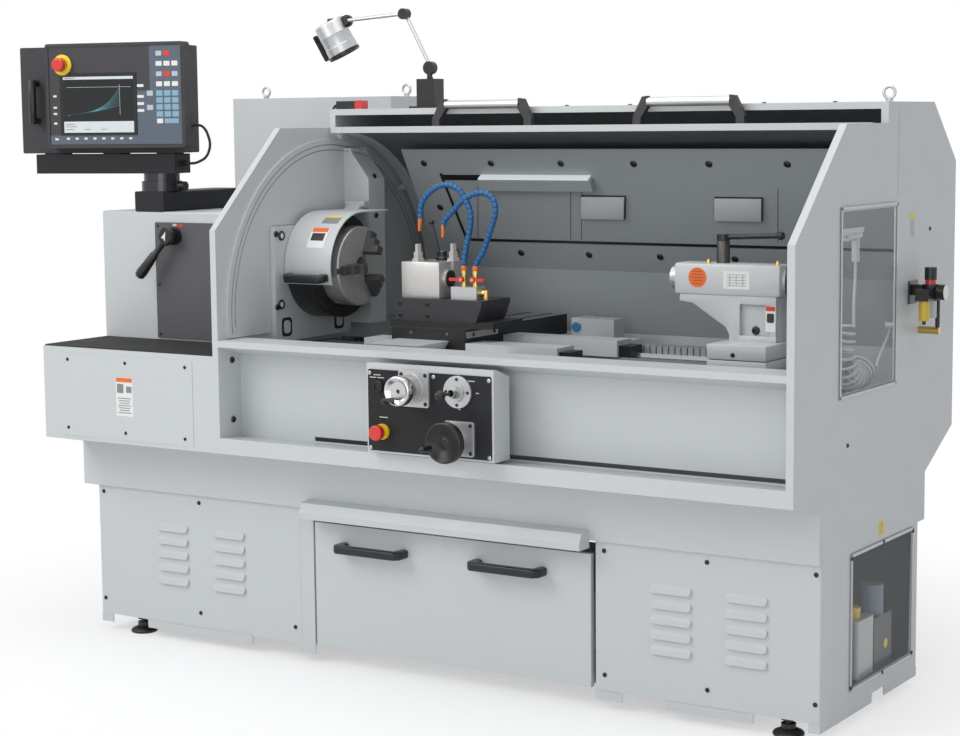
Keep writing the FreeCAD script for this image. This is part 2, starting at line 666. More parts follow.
def vee_ridge(y, grow, x0, x1):
    """One inverted vee way, or the groove that runs on it."""
    half = VEE_WIDTH / 2 + grow
    return prism_x([(y - half, BED_TOP_Z - grow), (y + half, BED_TOP_Z - grow),
                    (y, BED_TOP_Z + VEE_HEIGHT + grow)], x0, x1)


def vee_grooves(x0, x1):
    """Cutters for the grooves on the underside of what rides on the bed."""
    tools = []
    for y in VEE_YS:
        half = VEE_WIDTH / 2 + 2.0
        tools.append(prism_x([(y - half, BED_TOP_Z), (y + half, BED_TOP_Z),
                              (y + 3.0, BED_TOP_Z + VEE_HEIGHT + 1.0),
                              (y - 3.0, BED_TOP_Z + VEE_HEIGHT + 1.0)], x0, x1))
    return tools


def make_bed():
    y0, y1 = BED_FRONT_Y, BED_FRONT_Y + BED_WIDTH
    floor = CABINET_TOP + SHEET
    outline = [
        (y0 - 0.0, floor), (y1, floor), (y1, BED_TOP_Z), (y1 - SHEAR_W, BED_TOP_Z),
        (y1 - SHEAR_W, BED_TOP_Z - 60), (y1 - 40, BED_TOP_Z - 80), (y1 - 40, floor + 40),
        (y0 + 40, floor + 40), (y0 + 40, BED_TOP_Z - 80), (y0 + SHEAR_W, BED_TOP_Z - 60),
        (y0 + SHEAR_W, BED_TOP_Z), (y0, BED_TOP_Z),
    ]
    body = prism_x(outline, BED_START_X, BED_END_X)
    webs = [box(x, x + 24, y0 + 39, y1 - 39, floor + 39, BED_TOP_Z - 60)
            for x in range(760, 2300, 220)]
    head_block = box(BED_START_X, X_LEFT, y0 + 39, y1 - 39, floor + 39, BED_TOP_Z)
    side_cut = [box(BED_START_X - 1, BED_END_X + 1, y0 - 1, y0 + 18, floor + 60, BED_TOP_Z - 70),
                box(BED_START_X - 1, BED_END_X + 1, y1 - 18, y1 + 1, floor + 60, BED_TOP_Z - 70)]
    vees = [vee_ridge(y, 0.0, VEE_START_X, BED_END_X) for y in VEE_YS]
    add("bed", cut(join([body, head_block] + webs + vees), side_cut))


def make_headstock():
    body = box(HEADSTOCK_X0, X_LEFT, HEADSTOCK_Y0, HEADSTOCK_Y1, BED_TOP_Z, HEADSTOCK_TOP_Z)
    body = rounded(body, 12.0, along((1, 0, 0)))
    seat = box(HEADSTOCK_X0, X_LEFT, HEADSTOCK_Y0 + 5, HEADSTOCK_Y1 - 35, BED_TOP_Z,
               BED_TOP_Z + 30)
    nose = box(X_LEFT, NOSE_X, NOSE_Y0, COLUMN_Y0 - CLEAR, NOSE_Z0, NOSE_Z1)
    bore = rod(SPINDLE_R, (HEADSTOCK_X0 - 1, SPINDLE_Y, SPINDLE_Z), (1, 0, 0), NOSE_X)
    bearing_ring = pipe(100.0, SPINDLE_FLANGE_R + CLEAR, (NOSE_X, SPINDLE_Y, SPINDLE_Z),
                        (1, 0, 0), 4.0)
    add("headstock", join([body, seat, nose, bearing_ring]).cut(bore))


def make_spindle():
    fit_r = SPINDLE_R - FIT_GAP
    shaft = rod(fit_r, (SPINDLE_X0 + 30, SPINDLE_Y, SPINDLE_Z), (1, 0, 0),
                CHUCK_X0 - SPINDLE_X0 - 30)
    tail = rod(40.0, (SPINDLE_X0, SPINDLE_Y, SPINDLE_Z), (1, 0, 0), 40.0)
    flange = rod(SPINDLE_FLANGE_R, (NOSE_X + CLEAR, SPINDLE_Y, SPINDLE_Z), (1, 0, 0),
                 CHUCK_X0 - NOSE_X - CLEAR)
    bore = rod(SPINDLE_BORE_R, (0, SPINDLE_Y, SPINDLE_Z), (1, 0, 0), CHUCK_X0 + 1)
    add("spindle", join([shaft, tail, flange]).cut(bore))


def jaw_block(grow):
    """A three-step jaw pointing along +Y from the spindle line, or its slot when grown."""
    half = JAW_WIDTH / 2
    key = box(CHUCK_FACE_X - JAW_KEY_DEPTH - grow, CHUCK_FACE_X + 0.5, JAW_IN_R - grow,
              JAW_OUT_R + grow, -JAW_KEY_W / 2 - grow, JAW_KEY_W / 2 + grow)
    if grow:
        return key
    steps = []
    span = (JAW_OUT_R - JAW_IN_R) / JAW_STEPS
    for step in range(JAW_STEPS):
        height = JAW_STEP_T * (JAW_STEPS - step)
        start = JAW_IN_R + step * span
        steps.append(box(CHUCK_FACE_X + RUN_GAP, CHUCK_FACE_X + height, start,
                         start + span + 0.01, -half, half))
    return join(steps + [key])


def placed_jaw(shape, angle):
    """A jaw carried out to the spindle line and turned to its angle."""
    return turned(moved(shape, (0, SPINDLE_Y, SPINDLE_Z)), (0, SPINDLE_Y, SPINDLE_Z),
                  (1, 0, 0), angle)


def make_chuck():
    body = rod(CHUCK_R, (CHUCK_X0, SPINDLE_Y, SPINDLE_Z), (1, 0, 0), CHUCK_LENGTH)
    body = body.makeChamfer(3.0, [e for e in body.Edges if abs(e.Length) > 600
                                  and e.BoundBox.XMax - e.BoundBox.XMin < 1])
    tools = [rod(SPINDLE_BORE_R, (CHUCK_X0 - 1, SPINDLE_Y, SPINDLE_Z), (1, 0, 0),
                 CHUCK_LENGTH + 2)]
    half = JAW_KEY_W / 2 + RUN_GAP
    slot = box(CHUCK_FACE_X - JAW_KEY_DEPTH - RUN_GAP, CHUCK_FACE_X + 1,
               JAW_IN_R - JAW_TRAVEL_IN - 2, CHUCK_R + 5, -half, half)
    tools += [placed_jaw(slot, angle) for angle in JAW_ANGLES]
    for angle in JAW_ANGLES:
        socket = rod(9.0, (CHUCK_X0 + 34, CHUCK_R - 20, 0), (0, 1, 0), 30.0)
        tools.append(placed_jaw(socket, angle + 60.0))
    add("chuck_body", cut(body, tools))
    for index, angle in enumerate(JAW_ANGLES, 1):
        add("chuck_jaw_%d" % index, placed_jaw(jaw_block(0.0), angle))


GUARD_R = 157.0
GUARD_T = 3.0
GUARD_X0 = 692.0
GUARD_X1 = 855.0
GUARD_END_ANGLE = 197.0
GUARD_HANDLE_LENGTH = 136.0


def make_chuck_guard():
    curved = ring_piece(SPINDLE_Y, SPINDLE_Z, GUARD_R, GUARD_R - GUARD_T, GUARD_X0, GUARD_X1,
                        90.0, GUARD_END_ANGLE - 90.0)
    top_z = SPINDLE_Z + GUARD_R
    flat = box(GUARD_X0, GUARD_X1, SPINDLE_Y, GUARD_HINGE_Y - 14.0, top_z - GUARD_T, top_z)
    knuckle_x0 = GUARD_LUG_XS[0] + GUARD_LUG_T + RUN_GAP
    knuckle_x1 = GUARD_LUG_XS[1] - RUN_GAP
    tongue = prism_x([(GUARD_HINGE_Y - 30.0, top_z - GUARD_T), (GUARD_HINGE_Y - 14.0, top_z - GUARD_T),
                      (GUARD_HINGE_Y + 2.0, GUARD_HINGE_Z - 8.0),
                      (GUARD_HINGE_Y, GUARD_HINGE_Z), (GUARD_HINGE_Y - 8.0, GUARD_HINGE_Z),
                      (GUARD_HINGE_Y - 30.0, top_z)], knuckle_x0, knuckle_x1)
    knuckle = rod(9.5, (knuckle_x0, GUARD_HINGE_Y, GUARD_HINGE_Z), (1, 0, 0),
                  knuckle_x1 - knuckle_x0)
    pin_hole = rod(GUARD_PIN_R + FIT_GAP, (knuckle_x0 - 1, GUARD_HINGE_Y, GUARD_HINGE_Z),
                   (1, 0, 0), knuckle_x1 - knuckle_x0 + 2)
    mid_x = (GUARD_X0 + GUARD_X1) / 2
    handle = bow_handle(mid_x, -GUARD_R + 1.0, 0.0, GUARD_HANDLE_LENGTH, 26.0, 8.0)
    handle = turned(handle, (0, 0, 0), (1, 0, 0), 9.0)
    handle = moved(handle, (0, SPINDLE_Y, SPINDLE_Z))
    add("chuck_guard", join([curved, flat, tongue, knuckle, handle]).cut(pin_hole))


# ======================================================================================
# roll-over door
# ======================================================================================
DOOR_BAND = 42.0
DOOR_RAIL_OUT_R = 523.0
DOOR_RAIL_IN_R = 505.0
DOOR_RAIL_SPAN = 2.4
DOOR_X0 = X_IN_LEFT + DOOR_END_GAP
DOOR_X1 = X_IN_RIGHT - DOOR_END_GAP
ROLLER_ANGLES = (2.0, 42.0, 84.0)
ROLLER_R = 9.7
GRIP_TUBE_R = 12.5
GRIP_R = 583.0
GRIP_XS = (1200.0, 1850.0)
GRIP_FOOT_SPAN = 330.0
GRIP_TUBE_SPAN = 245.0


def door_point(radius, angle):
    """A (y, z) point at an angle and radius about the door's axis."""
    turn = math.radians(angle)
    return (DOOR_AXIS_Y + radius * math.cos(turn), DOOR_AXIS_Z + radius * math.sin(turn))


def door_roller(angle, x0, x1):
    """A track roller on the door's end band."""
    y, z = door_point(DISC_R + ROLLER_R + RUN_GAP, angle)
    return rod(ROLLER_R, (x0, y, z), (1, 0, 0), x1 - x0)


def make_door():
    first = DOOR_REST_ANGLE - DOOR_SPAN
    half_rail = DOOR_RAIL_SPAN / 2
    rail = ring_piece(DOOR_AXIS_Y, DOOR_AXIS_Z, DOOR_RAIL_OUT_R, DOOR_RAIL_IN_R, DOOR_X0,
                      DOOR_X1, DOOR_REST_ANGLE - half_rail, DOOR_RAIL_SPAN)
    tail = ring_piece(DOOR_AXIS_Y, DOOR_AXIS_Z, DOOR_R, DOOR_R - 8.0, DOOR_X0, DOOR_X1,
                      first, DOOR_RAIL_SPAN * 2)
    span = DOOR_SPAN - half_rail
    bands = [ring_piece(DOOR_AXIS_Y, DOOR_AXIS_Z, DOOR_R, DOOR_R - 8.0, x, x + DOOR_BAND,
                        first, span) for x in (DOOR_X0, DOOR_X1 - DOOR_BAND)]
    rollers = []
    for angle in ROLLER_ANGLES:
        rollers.append(door_roller(angle, DOOR_X0 - 8.0, DOOR_X0 + 10.0))
        rollers.append(door_roller(angle, DOOR_X1 - 10.0, X_IN_RIGHT + 8.0))
    add("door_frame", join([rail, tail] + bands + rollers))
    window = ring_piece(DOOR_AXIS_Y, DOOR_AXIS_Z, DOOR_R, DOOR_R - DOOR_SHEET,
                        DOOR_X0 + DOOR_BAND, DOOR_X1 - DOOR_BAND, first + DOOR_RAIL_SPAN * 2,
                        span - DOOR_RAIL_SPAN * 2)
    add("door_window", window)
    add("door_grips", group([door_grip(x) for x in GRIP_XS]))


def door_grip(x):
    """A tube handle carried off the door's leading rail on two bent arms."""
    up = GRIP_R - DOOR_RAIL_OUT_R
    base_y, base_z = DOOR_AXIS_Y, DOOR_AXIS_Z + DOOR_RAIL_OUT_R
    pieces = [rod(GRIP_TUBE_R, (x - GRIP_TUBE_SPAN / 2, base_y, base_z + up), (1, 0, 0),
                  GRIP_TUBE_SPAN)]
    for side in (-1, 1):
        foot = x + side * (GRIP_FOOT_SPAN / 2 - 12.0)
        head = x + side * (GRIP_TUBE_SPAN / 2 + 1.0)
        outline = [(foot - side * 12.0, base_z - 1.0), (foot + side * 12.0, base_z - 1.0),
                   (foot + side * 12.0, base_z + up * 0.35), (head + side * 14.0, base_z + up + 14.0),
                   (head - side * 2.0, base_z + up + 16.0), (head - side * 4.0, base_z + up - 12.0),
                   (foot - side * 12.0, base_z + up * 0.3)]
        pieces.append(prism_y(outline, base_y - 9.0, base_y + 9.0))
    grip = join(pieces)
    seat = ring_piece(DOOR_AXIS_Y, DOOR_AXIS_Z, DOOR_RAIL_OUT_R, DOOR_RAIL_IN_R, x - 300,
                      x + 300, 80.0, 20.0)
    return turned(grip.cut(seat), (0, DOOR_AXIS_Y, DOOR_AXIS_Z), (1, 0, 0),
                  DOOR_REST_ANGLE - 90.0)


# ======================================================================================
# carriage: saddle, control box and its controls
# ======================================================================================
SADDLE_X0 = 1040.0
SADDLE_X1 = 1440.0
SADDLE_FRONT_Y = 120.0
SADDLE_REAR_Y = 840.0
WING_TOP_Z = 924.0
APRON_X0 = 1194.0
APRON_FRONT_Y = 124.0
APRON_BOTTOM_Z = 640.0
BOX_X0 = 1194.0
BOX_X1 = 1589.0
BOX_Z0 = 661.0
BOX_Z1 = 898.0
BOX_FRONT_Y = -30.0
BOX_REAR_Y = 45.0
PLATE_T = 3.0
PLATE_FRONT_Y = BOX_FRONT_Y - PLATE_T
ARM_X0 = 1260.0
ARM_X1 = 1480.0
CHAIN_Y0 = 566.0
CHAIN_W = 54.0
CHAIN_Z0 = 886.0
CHAIN_H = 26.0
CHAIN_LINKS = 13
CHAIN_PITCH = 19.0
CROSS_WHEEL = (1347.0, 840.0)
CARRIAGE_WHEEL = (1487.0, 716.0)
JOYSTICK = (1484.0, 838.0)
JOYSTICK_PIVOT_Y = PLATE_FRONT_Y - 17.0
START_BUTTON = (1237.0, 838.0)
STOP_BUTTON = (1246.0, 719.0)
STOP_BUTTON_R = 20.0
WHEEL_REACH = 80.0


def make_saddle():
    under = BED_TOP_Z + RUN_GAP
    plate = box(SADDLE_X0, SADDLE_X1, SADDLE_FRONT_Y, SADDLE_REAR_Y, under, SADDLE_TOP_Z)
    apron = box(APRON_X0, SADDLE_X1, APRON_FRONT_Y, BED_FRONT_Y - 8.0, APRON_BOTTOM_Z, under)
    apron = rounded(apron, 10.0, along((0, 0, 1)))
    rear = box(SADDLE_X0 + 40, SADDLE_X1, BED_FRONT_Y + BED_WIDTH + 8.0, SADDLE_REAR_Y,
               850.0, under)
    dovetail = prism_y([(1093.0, SADDLE_TOP_Z), (1230.0, SADDLE_TOP_Z),
                        (1246.0, DOVETAIL_TOP_Z), (1077.0, DOVETAIL_TOP_Z)],
                       SADDLE_FRONT_Y + 10.0, SADDLE_REAR_Y - 2.0)
    wings = [
        box(960, SLIDE_LEFT_X - CLEAR, 285, 375, under, WING_TOP_Z),
        box(SLIDE_RIGHT_X + CLEAR, 1590, 285, 375, under, WING_TOP_Z),
        box(960, SLIDE_LEFT_X - CLEAR, 480, 560, under, WING_TOP_Z + 6),
        box(SLIDE_RIGHT_X + CLEAR, 1664, 480, 560, under, WING_TOP_Z + 6),
        box(1590, 1622, 296, 366, under, WING_TOP_Z - 10),
        box(1664, 1700, 490, 556, under, WING_TOP_Z - 8),
        box(1600, 1664, 560, CHAIN_Y0 + CHAIN_W, CHAIN_Z0, WING_TOP_Z),
    ]
    screw_cover = box(1380, 1493, 770, 830, 880, 956)
    body = join([plate, apron, rear, dovetail, screw_cover] + wings)
    add("saddle", cut(body, vee_grooves(900, 1800)))


def make_chain():
    pieces = [box(1664, 1664 + CHAIN_LINKS * CHAIN_PITCH, CHAIN_Y0 + 10,
                  CHAIN_Y0 + CHAIN_W - 10, CHAIN_Z0 + 7, CHAIN_Z0 + CHAIN_H - 7)]
    for index in range(CHAIN_LINKS):
        x = 1664 + index * CHAIN_PITCH
        pieces.append(box(x, x + CHAIN_PITCH - 4, CHAIN_Y0, CHAIN_Y0 + CHAIN_W, CHAIN_Z0,
                          CHAIN_Z0 + CHAIN_H))
    add("cable_chain", join(pieces))


def make_control_box():
    section = [(BOX_FRONT_Y, BOX_Z0), (BOX_REAR_Y, BOX_Z0), (BOX_REAR_Y, BOX_Z1 - 22.0),
               (BOX_FRONT_Y + 15.0, BOX_Z1), (BOX_FRONT_Y, BOX_Z1)]
    body = prism_x(section, BOX_X0, BOX_X1)
    plate = box(BOX_X0 + 6, BOX_X1 - 6, PLATE_FRONT_Y, BOX_FRONT_Y, BOX_Z0 + 6, BOX_Z1 - 16)
    plate = rounded(plate, 6.0, along((0, 1, 0)))
    hollow = box(BOX_X0 + SHEET, BOX_X1 - SHEET, BOX_FRONT_Y + SHEET, BOX_REAR_Y - SHEET,
                 BOX_Z0 + SHEET, BOX_Z1 - 26.0)
    arm = box(ARM_X0, ARM_X1, BOX_REAR_Y, APRON_FRONT_Y, ARM_SLOT_Z0 + CLEAR,
              ARM_SLOT_Z1 - CLEAR)
    foot = box(ARM_X0, ARM_X1, BOX_REAR_Y - 10, BOX_REAR_Y, ARM_SLOT_Z0 + CLEAR, BOX_Z0 + 10)
    flanges = []
    for (x, z), size in ((CROSS_WHEEL, 62.0), (CARRIAGE_WHEEL, 66.0), (JOYSTICK, 60.0)):
        flange = box(x - size / 2, x + size / 2, PLATE_FRONT_Y - 6, PLATE_FRONT_Y,
                     z - size / 2, z + size / 2)
        flanges.append(rounded(flange, 6.0, along((0, 1, 0))))
    collars = [
        rod(17.0, (CROSS_WHEEL[0], PLATE_FRONT_Y - 38, CROSS_WHEEL[1]), (0, 1, 0), 34.0),
        rod(20.0, (CARRIAGE_WHEEL[0], PLATE_FRONT_Y - 40, CARRIAGE_WHEEL[1]), (0, 1, 0), 36.0),
        rod(16.0, (JOYSTICK[0], PLATE_FRONT_Y - 22, JOYSTICK[1]), (0, 1, 0), 18.0),
        Part.makeCone(15.0, 11.5, 14.0, V(JOYSTICK[0], PLATE_FRONT_Y - 22, JOYSTICK[1]),
                      V(0, -1, 0)),
        rod(21.0, (STOP_BUTTON[0], PLATE_FRONT_Y - 8, STOP_BUTTON[1]), (0, 1, 0), 9.0),
        rod(13.0, (START_BUTTON[0], PLATE_FRONT_Y - 5, START_BUTTON[1]), (0, 1, 0), 6.0),
    ]
    bores = [
        rod(6.0 + FIT_GAP, (CROSS_WHEEL[0], PLATE_FRONT_Y - 50, CROSS_WHEEL[1]), (0, 1, 0), 50.0),
        rod(7.0 + FIT_GAP, (CARRIAGE_WHEEL[0], PLATE_FRONT_Y - 50, CARRIAGE_WHEEL[1]),
            (0, 1, 0), 50.0),
        rod(9.0, (JOYSTICK[0], PLATE_FRONT_Y - 40, JOYSTICK[1]), (0, 1, 0), 44.0),
        rod(10.0 + FIT_GAP, (STOP_BUTTON[0], PLATE_FRONT_Y - 20, STOP_BUTTON[1]), (0, 1, 0), 28.0),
        rod(8.0 + FIT_GAP, (START_BUTTON[0], PLATE_FRONT_Y - 20, START_BUTTON[1]),
            (0, 1, 0), 30.0),
    ]
    shell = join([body.cut(hollow), plate, arm, foot] + flanges + collars)
    add("control_box", cut(shell, bores))


def handwheel(centre, radius, shaft_r, collar_reach, crank_angle):
    """A dished handwheel with a revolving crank grip, facing the front."""
    x, z = centre
    hub_y = PLATE_FRONT_Y - collar_reach - RUN_GAP
    rim_y = PLATE_FRONT_Y - WHEEL_REACH
    profile = [(0.0, hub_y), (shaft_r * 2.4, hub_y), (shaft_r * 2.4, rim_y + 12.0),
               (radius - 9.0, rim_y + 17.0), (radius, rim_y + 20.0), (radius, rim_y + 3.0),
               (radius - 3.0, rim_y), (radius - 9.0, rim_y + 5.0),
               (shaft_r * 1.8, rim_y + 8.0), (0.0, rim_y + 6.0)]
    corners = [V(x + r, y, z) for r, y in profile]
    wheel = Part.Face(Part.makePolygon(corners + corners[:1])).revolve(
        V(x, 0, z), V(0, 1, 0), 360)
    shaft = rod(shaft_r, (x, hub_y - 1, z), (0, 1, 0), collar_reach)
    turn = math.radians(crank_angle)
    gx = x + (radius - 11.0) * math.cos(turn)
    gz = z + (radius - 11.0) * math.sin(turn)
    grip = Part.makeCone(5.0, 8.0, 42.0, V(gx, rim_y + 8.0, gz), V(0, -1, 0))
    tip = Part.makeSphere(8.0, V(gx, rim_y - 34.0, gz))
    return join([wheel, shaft, grip, tip])


def make_controls():
    add("cross_handwheel", handwheel(CROSS_WHEEL, 39.0, 6.0, 38.0, 235.0))
    add("carriage_handwheel", handwheel(CARRIAGE_WHEEL, 53.0, 7.0, 40.0, 200.0))
    x, z = JOYSTICK
    stick = rod(4.0, (x, PLATE_FRONT_Y - 82, z), (0, 1, 0), 66.0)
    pivot = Part.makeSphere(9.0 - FIT_GAP, V(x, JOYSTICK_PIVOT_Y, z))
    ball = Part.makeSphere(14.0, V(x, PLATE_FRONT_Y - 84, z))
    add("joystick", join([stick, pivot, ball]))
    x, z = STOP_BUTTON
    head = rod(STOP_BUTTON_R, (x, PLATE_FRONT_Y - 40, z), (0, 1, 0), 18.0)
    head = head.makeFillet(5.0, [e for e in head.Edges if e.BoundBox.YMax < PLATE_FRONT_Y - 39])
    add("carriage_stop_button", join([head, rod(10.0, (x, PLATE_FRONT_Y - 23, z), (0, 1, 0),
                                                23.0)]))
    x, z = START_BUTTON
    add("start_button", rod(8.0, (x, PLATE_FRONT_Y - 10, z), (0, 1, 0), 14.0))


# ======================================================================================
# cross slide, tool post and coolant
# ======================================================================================
TOOL_BASE_Z0 = 978.0
TOOL_BASE_Z1 = 1038.0
POST_TOP_Z = 1138.0
MANIFOLD_X0 = 1213.0
MANIFOLD_X1 = 1298.0
MANIFOLD_Y0 = 345.0
MANIFOLD_Y1 = 395.0
MANIFOLD_Z1 = 1072.0
VALVE_XS = (1243.0, 1280.0)
VALVE_AXIS_Z = 1092.0
VALVE_TOP_Z = 1116.0
HOSE_Y = 370.0
HOSE_R = 8.5
HOSE_NECK_R = 6.6
HOSE_BORE_R = 3.5
HOSE_PITCH = 14.0
HOSE_A = ((1243.0, 1116.0), (1256.0, 1201.0), (1265.0, 1278.0), (1249.0, 1313.0),
          (1226.0, 1340.0), (1198.0, 1351.0), (1160.0, 1347.0), (1127.0, 1327.0),
          (1105.0, 1300.0), (1098.0, 1256.0))
HOSE_B = ((1280.0, 1116.0), (1302.0, 1163.0), (1323.0, 1210.0), (1340.0, 1253.0),
          (1347.0, 1291.0), (1336.0, 1318.0), (1304.0, 1331.0), (1267.0, 1323.0),
          (1230.0, 1301.0), (1202.0, 1274.0), (1176.0, 1240.0))
NOZZLE_LENGTH = 34.0


def make_cross_slide():
    gap = RUN_GAP
    body = box(SLIDE_LEFT_X, SLIDE_RIGHT_X, SLIDE_FRONT_Y, SLIDE_REAR_Y, SADDLE_TOP_Z + gap,
               SLIDE_TOP_Z)
    tail = prism_y([(1093.0 - gap, SADDLE_TOP_Z - 1), (1230.0 + gap, SADDLE_TOP_Z - 1),
                    (1246.0 + gap, DOVETAIL_TOP_Z + gap), (1077.0 - gap, DOVETAIL_TOP_Z + gap)],
                   SLIDE_FRONT_Y - 1, SLIDE_REAR_Y + 1)
    slots = [box(x - 6, x + 6, 500, SLIDE_REAR_Y + 1, SLIDE_TOP_Z - 12, SLIDE_TOP_Z + 1)
             for x in (1100.0, 1176.0, 1252.0)]
    top_slide = prism_z([(1045, 292), (1240, 292), (1361, 330), (1361, 486), (1045, 486)],
                        SLIDE_TOP_Z, TOOL_BASE_Z0)
    base = prism_y([(1050, TOOL_BASE_Z0), (1316, TOOL_BASE_Z0), (1336, TOOL_BASE_Z1 - 12),
                    (1336, TOOL_BASE_Z1), (1050, TOOL_BASE_Z1)], 312, 460)
    add("cross_slide", join([cut(body, [tail] + slots), top_slide, base]))


def square_bolt(x, y, z, height):
    """A clamp bolt: a hex nut, a collar and a square head."""
    hexagon = [(x + 11 * math.cos(math.radians(60 * k)), y + 11 * math.sin(math.radians(60 * k)))
               for k in range(6)]
    return [prism_z(hexagon, z, z + 14), rod(7.0, (x, y, z), (0, 0, 1), height - 16),
            box(x - 6, x + 6, y - 6, y + 6, z + height - 18, z + height)]


def make_tool_post():
    holder = box(1062, 1166, 330, 398, TOOL_BASE_Z1, POST_TOP_Z)
    holder = rounded(holder, 4.0, along((0, 0, 1)))
    holder = holder.cut(box(1061, 1090, 329, 352, TOOL_BASE_Z1 + 26, TOOL_BASE_Z1 + 52))
    post = box(1080, 1190, 398, 452, TOOL_BASE_Z1, POST_TOP_Z)
    cam = rod(26.0, (1166, 372, 1092), (1, 0, 0), 30.0)
    bolts = square_bolt(1096, 362, POST_TOP_Z, 46) + square_bolt(1172, 425, POST_TOP_Z, 46)
    cap = rod(15.0, (1134, 425, POST_TOP_Z), (0, 0, 1), 10.0)
    pivot = rod(7.0, (1134, 425, POST_TOP_Z + 10), (0, 0, 1), 16.0)
    add("tool_post", join([holder, post, cam, cap, pivot] + bolts))
    hub = pipe(13.0, 7.0 + FIT_GAP, (1134, 425, POST_TOP_Z + 10 + RUN_GAP), (0, 0, 1), 15.0)
    bar = Part.makeCylinder(4.0, 96.0, V(1124, 425, POST_TOP_Z + 20), V(-0.42, 0.25, 0.87))
    knob = Part.makeSphere(8.0, V(1124, 425, POST_TOP_Z + 20) + V(-0.42, 0.25, 0.87) * 97.0)
    keep = pipe(200.0, 8.5, (1134, 425, POST_TOP_Z + 10 + RUN_GAP), (0, 0, 1), 200.0)
    add("post_lever", join([hub, bar.common(keep), knob]))


def ribbed_hose(points):
    """A segmented coolant hose with its bore, ending in a tapered nozzle."""
    curve = Part.BSplineCurve()
    curve.interpolate(Points=[V(x, HOSE_Y, z) for x, z in points],
                      InitialTangent=V(0, 0, 1), FinalTangent=V(-0.1, 0, -1))
    length = curve.length()
    count = int(length / HOSE_PITCH)
    pitch = length / count
    steady = V(0, 1, 0)

    def ring(distance, radius):
        place = curve.parameterAtDistance(distance, curve.FirstParameter)
        axis = V(*curve.tangent(place)[0])
        circle = Part.Circle(curve.value(place), axis, radius)
        circle.XAxis = steady
        return Part.Wire(circle.toShape())

    rings = []
    for index in range(count):
        start = index * pitch
        rings.append(ring(start, HOSE_NECK_R))
        rings.append(ring(start + pitch * 0.25, HOSE_R))
        rings.append(ring(start + pitch * 0.75, HOSE_R))
    rings.append(ring(length * 0.9999, HOSE_NECK_R))
    skin = Part.makeLoft(rings, True, True)
    end = curve.value(curve.LastParameter)
    axis = V(*curve.tangent(curve.LastParameter)[0])
    nozzle = Part.makeCone(HOSE_NECK_R, 3.8, NOZZLE_LENGTH, end, axis)
    bores = [ring(length * step / 16.0, HOSE_BORE_R) for step in range(16)]
    bores.append(ring(length * 0.9999, HOSE_BORE_R))
    bore = Part.makeLoft(bores, True, True)
    tip = Part.makeCylinder(2.2, NOZZLE_LENGTH + 2, end - axis, axis)
    print("hose length", round(length + NOZZLE_LENGTH), "mm,", count, "ribs")
    return skin.fuse(nozzle).cut([bore, tip])


def make_coolant():
    block = box(MANIFOLD_X0, MANIFOLD_X1, MANIFOLD_Y0, MANIFOLD_Y1, TOOL_BASE_Z1, MANIFOLD_Z1)
    block = rounded(block, 3.0, along((0, 0, 1)))
    pieces = [block]
    for x in VALVE_XS:
        pieces.append(rod(9.0, (x, HOSE_Y, MANIFOLD_Z1), (0, 0, 1), 8.0))
        pieces.append(rod(7.0, (x, HOSE_Y, MANIFOLD_Z1 + 8), (0, 0, 1),
                          VALVE_TOP_Z - MANIFOLD_Z1 - 16))
        pieces.append(rod(9.5, (x, HOSE_Y, VALVE_TOP_Z - 10), (0, 0, 1), 10.0))
        pieces.append(rod(4.0, (x, HOSE_Y - 20, VALVE_AXIS_Z), (0, 1, 0), 20.0))
    inlet = rod(11.0, (MANIFOLD_X1, HOSE_Y, 1055), (1, 0, 0), 16.0)
    elbow = rod(9.0, (MANIFOLD_X1 + 16, HOSE_Y, 1030), (0, 0, 1), 34.0)
    add("coolant_manifold", join(pieces + [inlet, elbow.cut(
        box(1300, 1380, 300, 460, 1000, TOOL_BASE_Z1))]))
    add("coolant_hoses", group([ribbed_hose(HOSE_A), ribbed_hose(HOSE_B)]))
    for name, x, side in (("valve_lever_a", VALVE_XS[0], -1), ("valve_lever_b", VALVE_XS[1], 1)):
        boss = pipe(8.0, 4.0 + FIT_GAP, (x, HOSE_Y - 20, VALVE_AXIS_Z), (0, 1, 0), 8.0)
        outline = [(x + side * 6.0, VALVE_AXIS_Z - 4), (x + side * 36.0, VALVE_AXIS_Z - 5),
                   (x + side * 40.0, VALVE_AXIS_Z), (x + side * 36.0, VALVE_AXIS_Z + 5),
                   (x + side * 6.0, VALVE_AXIS_Z + 4)]
        add(name, join([boss, prism_y(outline, HOSE_Y - 19, HOSE_Y - 14)]))


# ======================================================================================
# tailstock
# ======================================================================================
TAIL_X0 = 1895.0
TAIL_X1 = 2185.0
TAIL_BASE_X0 = 1999.0
TAIL_BASE_X1 = 2190.0
TAIL_FRONT_Y = SPINDLE_Y - 41.0
TAIL_BASE_TOP_Z = 956.0
QUILL_R = 32.0
QUILL_NOSE_X = 1866.0
QUILL_LENGTH = 280.0


